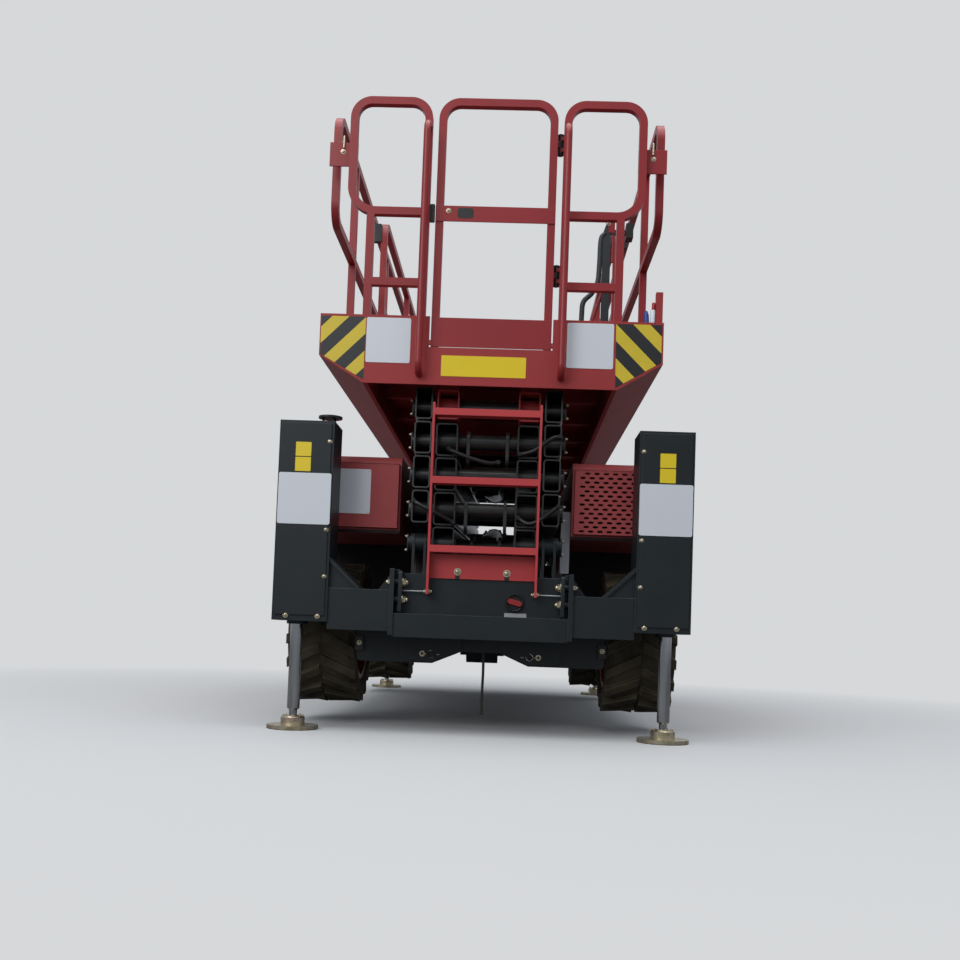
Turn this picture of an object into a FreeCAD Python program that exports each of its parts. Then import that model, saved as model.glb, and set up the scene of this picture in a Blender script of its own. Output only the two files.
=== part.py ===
"""Rough-terrain scissor lift with four levelling jacks, platform stowed.

Millimetres. X runs across the machine, Y along it and Z up. The ladder end is at -Y.
The origin is on the ground, under the middle of the machine. The machine stands on its
four jacks, so the wheels hang a little above the ground.
"""
import FreeCAD, Part
import math
import os
from types import SimpleNamespace

import Sketcher

SIZES = [
    # Jacks: housings, rod axes, legs
    ("jack_x", 785),
    ("rod_x", 812),
    ("jack_y", 1850),
    ("housing_width", 240),
    ("housing_depth", 220),
    ("housing_bottom", 474),
    ("housing_top", 1350),
    ("housing_wall", 10),
    ("cover_thickness", 8),
    ("cover_margin", 12),
    ("rod_diameter", 55),
    ("rod_top", 930),
    ("neck_diameter", 35),
    ("neck_top", 82),
    ("hub_diameter", 105),
    ("hub_height", 38),
    ("pad_diameter", 225),
    ("pad_thickness", 18),
    ("guide_height", 14),
    ("guide_rim", 18),
    ("sliding_gap", 1),
    # Outrigger beams and the flanges that bolt them to the chassis
    ("beam_bottom", 442),
    ("beam_top", 622),
    ("beam_depth", 180),
    ("gusset_width", 140),
    ("gusset_height", 132),
    ("gusset_band", 20),
    ("gusset_inset", 14),
    ("flange_inner", 378),
    ("flange_thickness", 20),
    ("flange_bottom", 426),
    ("flange_top", 715),
    ("flange_depth", 208),
    ("bumper_bottom", 419),
    ("bumper_top", 522),
    ("bumper_front", 1945),
    ("sensor_x", 703),
    ("sensor_radius", 53),
    ("sensor_height", 38),
    ("sensor_cap", 9),
    # Chassis
    ("member_inner", 265),
    ("member_outer", 355),
    ("member_bottom", 470),
    ("member_top", 640),
    ("member_wall", 8),
    ("end_plate_front", 1880),
    ("end_plate_thickness", 15),
    ("end_plate_top", 700),
    ("crossmember_pitch", 900),
    ("crossmember_depth", 90),
    ("shelf_width", 500),
    ("shelf_thickness", 8),
    # The cross plate behind the near beam, with its two lashing lugs
    ("skid_front", 1715),
    ("skid_thickness", 14),
    ("skid_width", 560),
    ("skid_bottom", 305),
    ("skid_rise", 55),
    ("skid_notch_top", 88),
    ("skid_notch_foot", 217),
    ("skid_brace", 150),
    ("lashing_plate", 12),
    ("lashing_edge", 8),
    ("lashing_end", 362),
    ("lashing_corner", 30),
    ("lashing_x", 223),
    ("lashing_height", 346),
    ("lashing_radius", 16),
    # Scissor linkage
    ("pivot_height", 850),
    ("row_pitch", 157.5),
    ("pin_span", 3340),
    ("arm_height", 150),
    ("inner_arm_width", 100),
    ("outer_arm_width", 80),
    ("column_gap", 20),
    ("inner_arm_x", 135),
    ("arm_wall", 7),
    ("arm_corner", 16),
    ("arm_overhang", 90),
    ("cross_tube_diameter", 70),
    ("centre_pin_diameter", 60),
    ("sleeve_rim", 11),
    ("pin_cap", 15),
    ("tie_diameter", 60),
    ("tie_near_centre", 900),
    ("roller_diameter", 90),
    ("roller_width", 30),
    ("roller_side_gap", 8),
    ("track_clearance", 7),
    ("roller_gap", 0.4),
    ("track_start", 470),
    ("track_end", 1750),
    ("track_plate", 8),
    ("hanger_x", 82),
    ("hanger_plate", 15),
    ("hanger_width", 84),
    ("hanger_above", 50),
    ("hanger_below", 110),
    # Lift cylinders
    ("cylinder_reach", 1300),
    ("lug_offset", 140),
    ("lug_x", 60),
    ("lug_plate", 15),
    ("lug_height", 100),
    ("foot_pin_diameter", 50),
    ("barrel_diameter", 120),
    ("barrel_bore", 82),
    ("barrel_start", 62),
    ("barrel_end", 2350),
    ("barrel_cap", 45),
    ("gland_diameter", 134),
    ("gland_length", 46),
    ("foot_eye_diameter", 104),
    ("foot_eye_width", 100),
    ("lift_rod_diameter", 80),
    ("lift_rod_start", 150),
    ("rod_eye_diameter", 116),
    ("rod_eye_width", 90),
    # Wheels and axles
    ("near_axle_y", 1350),
    ("far_axle_y", 1300),
    ("wheel_x", 735),
    ("wheel_height", 430),
    ("tyre_radius", 335),
    ("tyre_width", 325),
    ("lug_depth", 22),
    ("lug_seat", 28),
    ("lug_length", 150),
    ("lug_thickness", 44),
    ("lug_skew", 80),
    ("lug_count", 18),
    ("bead_radius", 208.3),
    ("rim_radius", 208),
    ("rim_flange", 225),
    ("rim_inset", 24),
    ("bead_gap", 0.3),
    ("rim_wall", 8),
    ("disc_offset", 48),
    ("disc_thickness", 12),
    ("hub_radius", 76),
    ("hub_inner", 60),
    ("spindle_radius", 38),
    ("spindle_end", 722),
    ("axle_radius", 38),
    ("axle_flange_radius", 85),
    ("diff_radius", 125),
    ("diff_width", 210),
    ("kingpin_x", 590),
    ("kingpin_radius", 18),
    ("knuckle_radius", 44),
    ("knuckle_height", 130),
    ("fork_plate", 24),
    ("fork_gap", 5),
    # Side hoods
    ("hood_inner", 395),
    ("hood_outer", 890),
    ("hood_end", 1660),
    ("hood_top", 1250),
    ("hood_arch", 892),
    ("hood_bottom", 508),
    ("hood_belly_near", 960),
    ("hood_belly_far", 850),
    ("hood_wall", 5),
    ("hood_corner", 45),
    ("grille_thickness", 4),
    ("grille_margin", 24),
    ("grille_bottom", 914),
    ("grille_top", 1212),
    ("engine_width", 330),
    ("engine_length", 900),
    ("engine_height", 560),
    # Ladder
    ("stile_x", 230),
    ("stile_thickness", 10),
    ("stile_depth", 66),
    ("stile_bottom", 609),
    ("stile_top", 1450),
    ("tread_pitch", 300.5),
    ("tread_top", 1425),
    ("tread_height", 30),
    ("tread_sheet", 4),
    ("ladder_plate_bottom", 682),
    ("ladder_plate_top", 790),
    # Platform
    ("platform_half", 765),
    ("platform_end", 1870),
    ("fascia_bottom", 1543),
    ("fascia_shoulder", 1663),
    ("fascia_top", 1851),
    ("fascia_foot", 565),
    ("side_inner", 545),
    ("side_flange", 40),
    ("sheet", 8),
    ("deck_top", 1700),
    ("rib_height", 55),
    ("rib_width", 50),
    ("rib_pitch", 560),
    ("stub_length", 240),
    ("stub_height", 136),
    ("socket_post_height", 140),
    # Guard rails
    ("rail_tube", 35),
    ("rail_top", 2845),
    ("loop_top", 2858),
    ("rail_mid", 2350),
    ("rail_bend", 80),
    ("low_bend", 110),
    ("loop_inner", 297),
    ("loop_outer", 670),
    ("loop_leg", 562),
    ("loop_low_rail", 2009),
    ("loop_y", 1840),
    ("side_rail_x", 747),
    ("side_rail_front", 1720),
    ("side_rail_rear", 1838),
    ("latch_height", 2600),
    ("grab_diameter", 32),
    ("grab_front", 1925),
    ("grab_top", 2725),
    ("grab_bottom", 1590),
    ("grab_bend", 55),
    # Gate
    ("gate_half", 269),
    ("gate_gap", 6),
    ("kick_bottom", 1717),
    ("gate_bar_bottom", 2288),
    ("gate_bar_top", 2359),
    ("gate_plate", 5),
    ("hinge_y", 1812),
    ("hinge_high", 2670),
    ("hinge_low", 2066),
    ("hinge_radius", 13),
    ("hinge_pin_radius", 7),
    ("hinge_length", 70),
    # Roll-out deck and its rails
    ("deck_gap", 6),
    ("runner_gap", 0.4),
    ("runner_inner", 610),
    ("runner_outer", 650),
    ("slide_x", 690),
    ("slide_front", 690),
    ("slide_rear", 1850),
    ("slide_toe", 140),
    ("slide_rail_x", 666),
    ("slide_rail_top", 2740),
    ("slide_rail_mid", 2250),
    # Controls and small things
    ("control_x", 560),
    ("control_y", 1200),
    ("control_top", 2560),
    ("isolator_x", 147),
    ("isolator_height", 587),
    ("isolator_radius", 41),
    ("strap_width", 12),
    ("strap_bottom", 78),
    ("strap_x", 15),
]

doc = FreeCAD.newDocument("scissor_lift")


class Size:
    """A number that also knows the sheet expression it comes from."""

    def __init__(self, value, text):
        self.value = float(value)
        self.text = text

    def __add__(self, other):
        return Size(self.value + number(other), f"({self.text} + {written(other)})")

    def __radd__(self, other):
        return Size(number(other) + self.value, f"({written(other)} + {self.text})")

    def __sub__(self, other):
        return Size(self.value - number(other), f"({self.text} - {written(other)})")

    def __rsub__(self, other):
        return Size(number(other) - self.value, f"({written(other)} - {self.text})")

    def __mul__(self, other):
        return Size(self.value * number(other), f"({self.text} * {written(other)})")

    __rmul__ = __mul__

    def __truediv__(self, other):
        return Size(self.value / number(other), f"({self.text} / {written(other)})")

    def __neg__(self):
        return 0 - self


def number(item):
    return item.value if isinstance(item, Size) else float(item)


def written(item):
    return item.text if isinstance(item, Size) else f"{float(item):.6f}"


def fill_sheet(pairs, first_row):
    """Write alias and value pairs into the sheet, one row each."""
    for row, (alias, value) in enumerate(pairs, first_row):
        sheet.set(f"A{row}", alias)
        sheet.set(f"B{row}", repr(value))
        sheet.setAlias(f"B{row}", alias)


def named(pairs):
    return {alias: Size(value, f"sizes.{alias}") for alias, value in pairs}


sheet = doc.addObject("Spreadsheet::Sheet", "sizes")
fill_sheet(SIZES, 1)
S = SimpleNamespace(**named(SIZES))

# What follows from the driving sizes: the stowed linkage and its cylinders
arm_length = math.hypot(S.pin_span.value, S.row_pitch.value)
rest_angle = math.degrees(math.atan2(S.row_pitch.value, S.pin_span.value))
run = 2 * S.cylinder_reach.value * S.pin_span.value / arm_length
rise = S.row_pitch.value * (1 + 2 * S.cylinder_reach.value / arm_length)
DERIVED = [
    ("arm_length", arm_length),
    ("rest_angle", rest_angle),
    ("cylinder_closed", math.hypot(run, rise)),
    ("cylinder_tilt", math.degrees(math.atan2(rise, run))),
    ("foot_y", -run / 2),
    ("foot_drop", S.cylinder_reach.value * S.row_pitch.value / arm_length),
]
fill_sheet(DERIVED, len(SIZES) + 1)
for alias, size in named(DERIVED).items():
    setattr(S, alias, size)
doc.recompute()

NEAR, FAR = -1, 1
LEFT, RIGHT = -1, 1
LEVELS = (1, 2, 3, 4)
X_AXIS = FreeCAD.Vector(1, 0, 0)
Y_AXIS = FreeCAD.Vector(0, 1, 0)
Z_AXIS = FreeCAD.Vector(0, 0, 1)
# How a drawing lies in each plane: its own x and y run along the plane's two letters
PLANE_TURN = {
    "xy": FreeCAD.Rotation(),
    "xz": FreeCAD.Rotation(X_AXIS, 90),
    "yz": FreeCAD.Rotation(FreeCAD.Vector(1, 1, 1), 120),
}
AXIS_TURN = {
    "x": FreeCAD.Rotation(Y_AXIS, 90),
    "y": FreeCAD.Rotation(X_AXIS, -90),
    "z": FreeCAD.Rotation(),
}
nodes = []


def bind(item, prop, size):
    """Set a property, and tie it to the sheet where the size comes from there."""
    if isinstance(size, Size):
        item.setExpression(prop, size.text)
    else:
        setattr(item, prop, float(size))


def place(item, spot, turn=None):
    """Put an object at spot, each coordinate tied to the sheet where it can be."""
    turn = turn or FreeCAD.Rotation()
    item.Placement = FreeCAD.Placement(FreeCAD.Vector(*[number(c) for c in spot]), turn)
    for letter, size in zip("xyz", spot):
        if isinstance(size, Size):
            item.setExpression(f"Placement.Base.{letter}", size.text)
    return item


def tilt(item, spot, angle):
    """Put an object at spot, turned about X by an angle from the sheet."""
    place(item, spot, FreeCAD.Rotation(X_AXIS, number(angle)))
    item.setExpression("Placement.Rotation.Angle", angle.text)
    return item


def box(name, x, y, z):
    """A block between two planes on each axis."""
    item = doc.addObject("Part::Box", name)
    for prop, (low, high) in zip(("Length", "Width", "Height"), (x, y, z)):
        bind(item, prop, high - low)
    return place(item, (x[0], y[0], z[0]))


def rod(name, axis, centre, radius, span):
    """A cylinder along an axis; centre holds its other two coordinates, in X, Y, Z order."""
    item = doc.addObject("Part::Cylinder", name)
    bind(item, "Radius", radius)
    bind(item, "Height", span[1] - span[0])
    spot = list(centre)
    spot.insert("xyz".index(axis), span[0])
    return place(item, spot, AXIS_TURN[axis])


def draw(sketch, corners, closed=True):
    """Lines between corners (u, v), or (u, v, radius) where a corner is rounded."""
    count = len(corners)
    points = [FreeCAD.Vector(number(c[0]), number(c[1]), 0) for c in corners]
    lines = []
    rounds = {}
    ends = {}
    turns_left = {}
    for i, corner in enumerate(corners):
        if len(corner) < 3:
            continue
        before = (points[i - 1] - points[i]).normalize()
        after = (points[(i + 1) % count] - points[i]).normalize()
        half = before.getAngle(after) / 2
        reach = number(corner[2]) / math.tan(half)
        middle = points[i] + (before + after).normalize() * (number(corner[2]) / math.sin(half))
        inward = (points[i] - middle).normalize() * number(corner[2])
        ends[i] = (points[i] + before * reach, middle + inward, points[i] + after * reach)
        turns_left[i] = before.cross(after).z < 0
    for i in range(count if closed else count - 1):
        j = (i + 1) % count
        start = ends[i][2] if i in ends else points[i]
        stop = ends[j][0] if j in ends else points[j]
        lines.append(sketch.addGeometry(Part.LineSegment(start, stop), False))
    for i, (start, middle, stop) in ends.items():
        # A sketch keeps its arcs anticlockwise, so one that turns right is drawn from its end
        arc = Part.Arc(start, middle, stop) if turns_left[i] else Part.Arc(stop, middle, start)
        rounds[i] = sketch.addGeometry(arc, False)
    for i, corner in enumerate(corners):
        into = lines[i - 1] if closed or i > 0 else None
        out = lines[i] if i < len(lines) else None
        if i in rounds:
            mark = sketch.addGeometry(Part.Point(points[i]), True)
            arc = rounds[i]
            start_end = (1, 2) if turns_left[i] else (2, 1)
            sketch.addConstraint(Sketcher.Constraint("Tangent", into, 2, arc, start_end[0]))
            sketch.addConstraint(Sketcher.Constraint("Tangent", out, 1, arc, start_end[1]))
            sketch.addConstraint(Sketcher.Constraint("PointOnObject", mark, 1, into))
            sketch.addConstraint(Sketcher.Constraint("PointOnObject", mark, 1, out))
            tie(sketch, "Radius", (arc,), corner[2])
            held = (mark, 1)
        else:
            if into is not None and out is not None:
                sketch.addConstraint(Sketcher.Constraint("Coincident", into, 2, out, 1))
            held = (out, 1) if out is not None else (into, 2)
        tie(sketch, "DistanceX", (-1, 1) + held, corner[0])
        tie(sketch, "DistanceY", (-1, 1) + held, corner[1])
    return sketch


def tie(sketch, kind, where, size):
    """Add a measured constraint and tie it to the sheet."""
    index = sketch.addConstraint(Sketcher.Constraint(kind, *where, number(size)))
    if isinstance(size, Size):
        sketch.setExpression(f"Constraints[{index}]", size.text)


def spot_in(plane, u, v, across):
    """The X, Y, Z of a drawing's point, in a plane that stands at across."""
    return {"xy": (u, v, across), "xz": (u, across, v), "yz": (across, u, v)}[plane]


def plate(name, plane, corners, span):
    """A drawn outline made solid between two depths."""
    sketch = doc.addObject("Sketcher::SketchObject", f"{name}_outline")
    # The drawing's normal is -Y in the xz plane, so that one starts at its far face
    start = span[1] if plane == "xz" else span[0]
    place(sketch, spot_in(plane, 0.0, 0.0, start), PLANE_TURN[plane])
    draw(sketch, corners)
    item = doc.addObject("Part::Extrusion", name)
    item.Base = sketch
    item.DirMode = "Normal"
    item.Solid = True
    bind(item, "LengthFwd", span[1] - span[0])
    return item


def tube(name, plane, across, corners, width, square=True):
    """A round or square tube swept along lines and bends drawn in one plane."""
    path = doc.addObject("Sketcher::SketchObject", f"{name}_path")
    place(path, spot_in(plane, 0.0, 0.0, across), PLANE_TURN[plane])
    draw(path, corners, closed=False)
    if square:
        profile = doc.addObject("Part::RegularPolygon", f"{name}_profile")
        profile.Polygon = 4
        bind(profile, "Circumradius", width * (0.5 * math.sqrt(2)))
        spin = FreeCAD.Rotation(Z_AXIS, 45)
    else:
        profile = doc.addObject("Part::Circle", f"{name}_profile")
        bind(profile, "Radius", width / 2)
        spin = FreeCAD.Rotation()
    first, second = corners[0], corners[1]
    along = FreeCAD.Vector(number(second[0]) - number(first[0]),
                           number(second[1]) - number(first[1]), 0).normalize()
    facing = FreeCAD.Rotation(Z_AXIS, Z_AXIS.cross(along), along, "ZXY")
    turn = PLANE_TURN[plane].multiply(facing).multiply(spin)
    place(profile, spot_in(plane, first[0], first[1], across), turn)
    item = doc.addObject("Part::Sweep", name)
    item.Sections = [profile]
    item.Spine = path
    item.Solid = True
    return item


def join(name, items):
    item = doc.addObject("Part::MultiFuse", name)
    item.Shapes = items
    item.Refine = True
    return item


def cut(name, base, tools):
    tool = tools[0] if len(tools) == 1 else join(f"{name}_tools", tools)
    item = doc.addObject("Part::Cut", name)
    item.Base = base
    item.Tool = tool
    item.Refine = True
    return item


def mirrored(item, normal=X_AXIS):
    copy = doc.addObject("Part::Mirroring", f"{item.Name}_mirrored")
    copy.Source = item
    copy.Normal = normal
    copy.Base = FreeCAD.Vector()
    return copy


def both(*items):
    """Each piece and its mirror image on the machine's other side."""
    return [copy for item in items for copy in (item, mirrored(item))]


def node(name, item):
    """Name a finished sub-part; its label names its file."""
    item.Label = name
    nodes.append(item)
    return item


def body(name):
    return doc.addObject("PartDesign::Body", name)


def origin_of(owner, role):
    return next(f for f in owner.Origin.OriginFeatures if f.Role == role)


def sketch_in(owner, name, plane):
    """A sketch on one of the body's own origin planes."""
    sketch = owner.newObject("Sketcher::SketchObject", name)
    sketch.AttachmentSupport = (origin_of(owner, f"{plane.upper()}_Plane"), "")
    sketch.MapMode = "FlatFace"
    return sketch


def turned(owner, name, plane, corners, axis):
    """A revolved solid: its half outline about one of the sketch's own axes."""
    sketch = sketch_in(owner, f"{name}_outline", plane)
    draw(sketch, corners)
    item = owner.newObject("PartDesign::Revolution", name)
    item.Profile = sketch
    item.ReferenceAxis = (sketch, [axis])
    item.Angle = 360
    return item


def make_chassis():
    """Two box members with end plates, linkage pivots in front and roller tracks behind."""
    back = S.end_plate_front - S.end_plate_thickness
    member = cut("member", box("member_block", (S.member_inner, S.member_outer), (-back, back),
                               (S.member_bottom, S.member_top)),
                 [box("member_hollow", (S.member_inner + S.member_wall, S.member_outer - S.member_wall),
                      (-back, back), (S.member_bottom + S.member_wall, S.member_top - S.member_wall))])
    pieces = both(member)
    for end, label in ((NEAR, "near"), (FAR, "far")):
        y = (back, S.end_plate_front) if end == FAR else (-S.end_plate_front, -back)
        pieces.append(box(f"end_plate_{label}", (-S.flange_inner, S.flange_inner), y,
                          (S.bumper_top - S.end_plate_thickness, S.end_plate_top)))
        depth = S.jack_y - S.flange_depth / 2
        side = (depth, back) if end == FAR else (-back, -depth)
        pieces += both(box(f"side_plate_{label}", (S.flange_inner - S.end_plate_thickness, S.flange_inner),
                           side, (S.flange_bottom, S.flange_top)))
        web = (depth, depth + S.end_plate_thickness) if end == FAR else (-depth - S.end_plate_thickness, -depth)
        pieces += both(box(f"end_web_{label}", (S.member_outer, S.flange_inner), web,
                           (S.member_bottom, S.member_top)))
    for step in (-1, 0, 1):
        middle = step * S.crossmember_pitch
        half = S.crossmember_depth / 2
        pieces.append(box(f"crossmember_{step + 2}", (-S.member_inner, S.member_inner),
                          (middle - half, middle + half),
                          (S.member_bottom + 2 * S.member_wall, S.member_top - S.member_wall)))
    shelf_y = (-S.hood_belly_near, S.hood_belly_far)
    pieces += both(box("shelf", (S.member_outer, S.hood_inner + S.shelf_width), shelf_y,
                       (S.hood_bottom - S.shelf_thickness, S.hood_bottom)))
    pieces += make_skid()
    pieces += make_front_pivots()
    pieces += make_track("chassis_track", S.pivot_height)
    for index, y in enumerate((S.track_start + 60, S.crossmember_pitch + 200, S.track_end - 60)):
        outer = S.member_outer + S.track_plate * 2
        pieces += both(
            box(f"track_post_{index}", (S.track_inner, outer), (y - 30, y + 30),
                (S.member_top, S.pivot_height - S.roller_diameter / 2)),
            box(f"track_foot_{index}", (S.member_outer, outer), (y - 30, y + 30),
                (S.member_top - 80, S.member_top)))
    node("chassis_frame", join("chassis", pieces))


def make_skid():
    """The cross plate in front of the near axle, braced to the members, and its lashing lugs."""
    y = (-S.skid_front, -S.skid_front + S.skid_thickness)
    lug_y = (y[0] - S.lashing_plate, y[0])
    edge = S.lashing_edge
    inner, foot = S.skid_notch_top, S.skid_notch_foot
    notch_top = S.skid_bottom + S.skid_rise
    right = [(inner, notch_top), (foot, S.skid_bottom), (S.skid_width - 12, S.skid_bottom),
             (S.skid_width, S.skid_bottom + 12), (S.skid_width, S.member_bottom)]
    outline = right + [(-u, v) for u, v in reversed(right)]
    lug_outline = [(inner, notch_top + edge), (foot, S.skid_bottom + edge),
                   (S.lashing_end, S.skid_bottom + edge, S.lashing_corner),
                   (S.lashing_end, S.member_bottom), (inner, S.member_bottom)]
    hole = rod("lashing_hole", "y", (S.lashing_x, S.lashing_height), S.lashing_radius, (lug_y[0] - 1, y[1] + 1))
    plates = join("skid_plates", [plate("skid_blank", "xz", outline, y)]
                  + both(plate("lashing_lug", "xz", lug_outline, lug_y)))
    brace_x = (S.member_inner + 10, S.member_inner + 24)
    return [cut("skid", plates, both(hole))] + both(
        box("skid_brace", brace_x, (y[1], y[1] + S.skid_brace), (notch_top, S.member_bottom)))


def make_front_pivots():
    """Brackets in the outer arms' column that carry the lowest front pins."""
    low = S.outer_arm_x
    high = S.outer_arm_x + S.outer_arm_width
    rib = S.end_plate_thickness * 0.8
    half = S.cross_tube_diameter / 2 + S.sleeve_rim
    pieces = both(
        box("pivot_pad_low", (low, high), (S.pin_y - 85, S.pin_y + 85), (S.member_top, S.member_top + 28)),
        box("pivot_pad_high", (low + 4, high - 4), (S.pin_y - 70, S.pin_y + 70),
            (S.member_top + 28, S.member_top + 52)),
        rod("pivot_boss", "x", (S.pin_y, S.pivot_height), half, (low + 2, high + 3)),
        rod("pivot_pin", "x", (S.pin_y, S.pivot_height), S.cross_tube_diameter / 2,
            (S.inner_arm_x - 4, high + S.pin_cap)))
    for index, x in enumerate((low + 8, high - 8 - rib)):
        outline = [(S.pin_y - half - 14, S.member_top + 52), (S.pin_y + half + 14, S.member_top + 52),
                   (S.pin_y + half, S.pivot_height + half, half * 0.9),
                   (S.pin_y - half, S.pivot_height + half, half * 0.9)]
        pieces += both(plate(f"pivot_rib_{index}", "yz", outline, (x, x + rib)))
    return pieces


def make_track(name, height):
    """A pair of channels, open towards the linkage, in which rollers run."""
    reach = S.roller_diameter / 2 + S.roller_gap
    outer = S.track_inner + S.roller_width + S.roller_side_gap + S.track_plate
    low, high = height - reach - S.track_plate, height + reach + S.track_plate
    channel = [(S.track_inner, low), (outer, low), (outer, high), (S.track_inner, high),
               (S.track_inner, high - S.track_plate), (outer - S.track_plate, high - S.track_plate),
               (outer - S.track_plate, low + S.track_plate), (S.track_inner, low + S.track_plate)]
    stop = box(f"{name}_stop", (S.track_inner, outer), (S.track_end - S.track_plate, S.track_end),
               (low, high))
    return both(plate(f"{name}_channel", "xz", channel, (S.track_start, S.track_end)), stop)


def make_outriggers():
    """A cross beam with a jack housing at each end, bolted to the chassis ends by its flanges."""
    front = S.jack_y + S.housing_depth / 2
    cover = S.cover_thickness
    x = (S.jack_x - S.housing_width / 2, S.jack_x + S.housing_width / 2)
    y = (-front + cover, -front + S.housing_depth)
    wall = S.housing_wall
    shell = box("housing_block", x, y, (S.housing_bottom, S.housing_top))
    panel = box("housing_cover", (x[0] + S.cover_margin, x[1] - S.cover_margin),
                (-front, -front + cover + 1), (S.housing_bottom + 26, S.housing_top - S.cover_margin))
    guide = rod("housing_guide", "z", (S.rod_x, -S.jack_y), S.rod_diameter / 2 + S.guide_rim,
                (S.housing_bottom - S.guide_height, S.housing_bottom + 1))
    hollow = box("housing_hollow", (x[0] + wall, x[1] - wall), (y[0] + wall, y[1] - wall),
                 (S.housing_bottom + wall, S.housing_top - wall))
    bore = rod("housing_bore", "z", (S.rod_x, -S.jack_y), S.rod_diameter / 2 + S.sliding_gap,
               (S.housing_bottom - S.guide_height - 1, S.housing_bottom + wall + 1))
    housing = cut("housing", join("housing_outside", [shell, panel, guide]), [hollow, bore])
    flange_x = (S.flange_inner, S.flange_inner + S.flange_thickness)
    depth = (-S.jack_y - S.beam_depth / 2, -S.jack_y + S.beam_depth / 2)
    beam = box("outrigger_beam", (flange_x[1], x[0]), depth, (S.beam_bottom, S.beam_top))
    flange = box("outrigger_flange", flange_x,
                 (-S.jack_y - S.flange_depth / 2, -S.jack_y + S.flange_depth / 2),
                 (S.flange_bottom, S.flange_top))
    foot, peak = x[0] - S.gusset_width, S.beam_top + S.gusset_height
    inset = S.gusset_inset
    gusset = plate("outrigger_gusset", "xz", [(foot, S.beam_top), (x[0], S.beam_top), (x[0], peak)],
                   (depth[0] + inset, depth[1] - inset))
    band = plate("gusset_band", "xz",
                 [(foot, S.beam_top), (foot + S.gusset_band, S.beam_top),
                  (x[0], peak - S.gusset_band), (x[0], peak)], depth)
    web = plate("flange_web", "xz",
                [(flange_x[1], S.beam_top), (flange_x[1] + 60, S.beam_top),
                 (flange_x[1], S.flange_top - 10)], (-S.jack_y - 6, -S.jack_y + 6))
    bumper = box("bumper", (-S.flange_inner, S.flange_inner), (-S.bumper_front, -S.end_plate_front),
                 (S.bumper_bottom, S.bumper_top))
    whole = join("outrigger", both(housing, beam, flange, gusset, band, web) + [bumper])
    node("outrigger_far", mirrored(whole, Y_AXIS))
    sensor_top = S.housing_top + S.sensor_height
    sensor = [rod("sensor_cap", "z", (-S.sensor_x, -S.jack_y), S.sensor_radius,
                  (sensor_top - S.sensor_cap, sensor_top))]
    for index in range(3):
        turn = math.radians(60 + 120 * index)
        spot = (S.sensor_radius * (0.6 * math.cos(turn)) - S.sensor_x,
                S.sensor_radius * (0.6 * math.sin(turn)) - S.jack_y)
        sensor.append(rod(f"sensor_post_{index}", "z", spot, 5.0, (S.housing_top, sensor_top - 5)))
    node("outrigger_near", join("outrigger_with_sensor", [whole] + sensor))


def make_jack_legs():
    """The rod, neck and foot of each jack, turned in one piece."""
    for end, end_name in ((NEAR, "near"), (FAR, "far")):
        for side, side_name in ((LEFT, "left"), (RIGHT, "right")):
            leg = body(f"jack_{end_name}_{side_name}")
            pad, hub = S.pad_diameter / 2, S.hub_diameter / 2
            neck, stem = S.neck_diameter / 2, S.rod_diameter / 2
            hub_top = S.pad_thickness + S.hub_height
            turned(leg, f"{leg.Name}_turned", "xz",
                   [(0.0, 0.0), (pad - 3, 0.0), (pad, 3.0), (pad, S.pad_thickness),
                    (hub, S.pad_thickness), (hub, hub_top - 6), (hub - 6, hub_top),
                    (neck, hub_top), (neck, S.neck_top), (stem, S.neck_top + 8),
                    (stem, S.rod_top), (0.0, S.rod_top)], "V_Axis")
            place(leg, (side * S.rod_x, end * S.jack_y, 0.0))
            node(f"jack_leg_{end_name}_{side_name}", leg)


def axle_core(label, y, reach):
    """The tube, the differential and the two pads under the chassis members."""
    half = S.diff_width / 2
    middle = (y, S.wheel_height)
    pieces = [rod(f"{label}_tube", "x", middle, S.axle_radius, (-reach, reach)),
              rod(f"{label}_diff", "x", middle, S.diff_radius, (-half + 30, half - 30)),
              rod(f"{label}_diff_side", "x", middle, S.diff_radius * 0.72, (-half, half)),
              rod(f"{label}_input", "y", (0.0, S.wheel_height), S.axle_radius * 0.8,
                  ((y, y + S.diff_radius + 60) if number(y) < 0 else (y - S.diff_radius - 60, y)))]
    pieces += both(box(f"{label}_pad", (S.member_inner + 8, S.member_outer - 8), (y - 60, y + 60),
                       (S.wheel_height, S.member_bottom)))
    return pieces


def make_near_axle():
    """The fixed axle, with a flange and a spindle at each end."""
    y = -S.near_axle_y
    flange = (S.kingpin_x - 50, S.kingpin_x - 30)
    pieces = axle_core("near_axle", y, flange[0])
    pieces += both(
        rod("near_hub_flange", "x", (y, S.wheel_height), S.axle_flange_radius, flange),
        rod("near_hub_neck", "x", (y, S.wheel_height), S.axle_radius,
            (flange[1], S.wheel_x - S.hub_inner - 5)),
        rod("near_spindle", "x", (y, S.wheel_height), S.spindle_radius, (flange[1], S.spindle_end)))
    node("axle_near", join("axle_near_whole", pieces))


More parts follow.
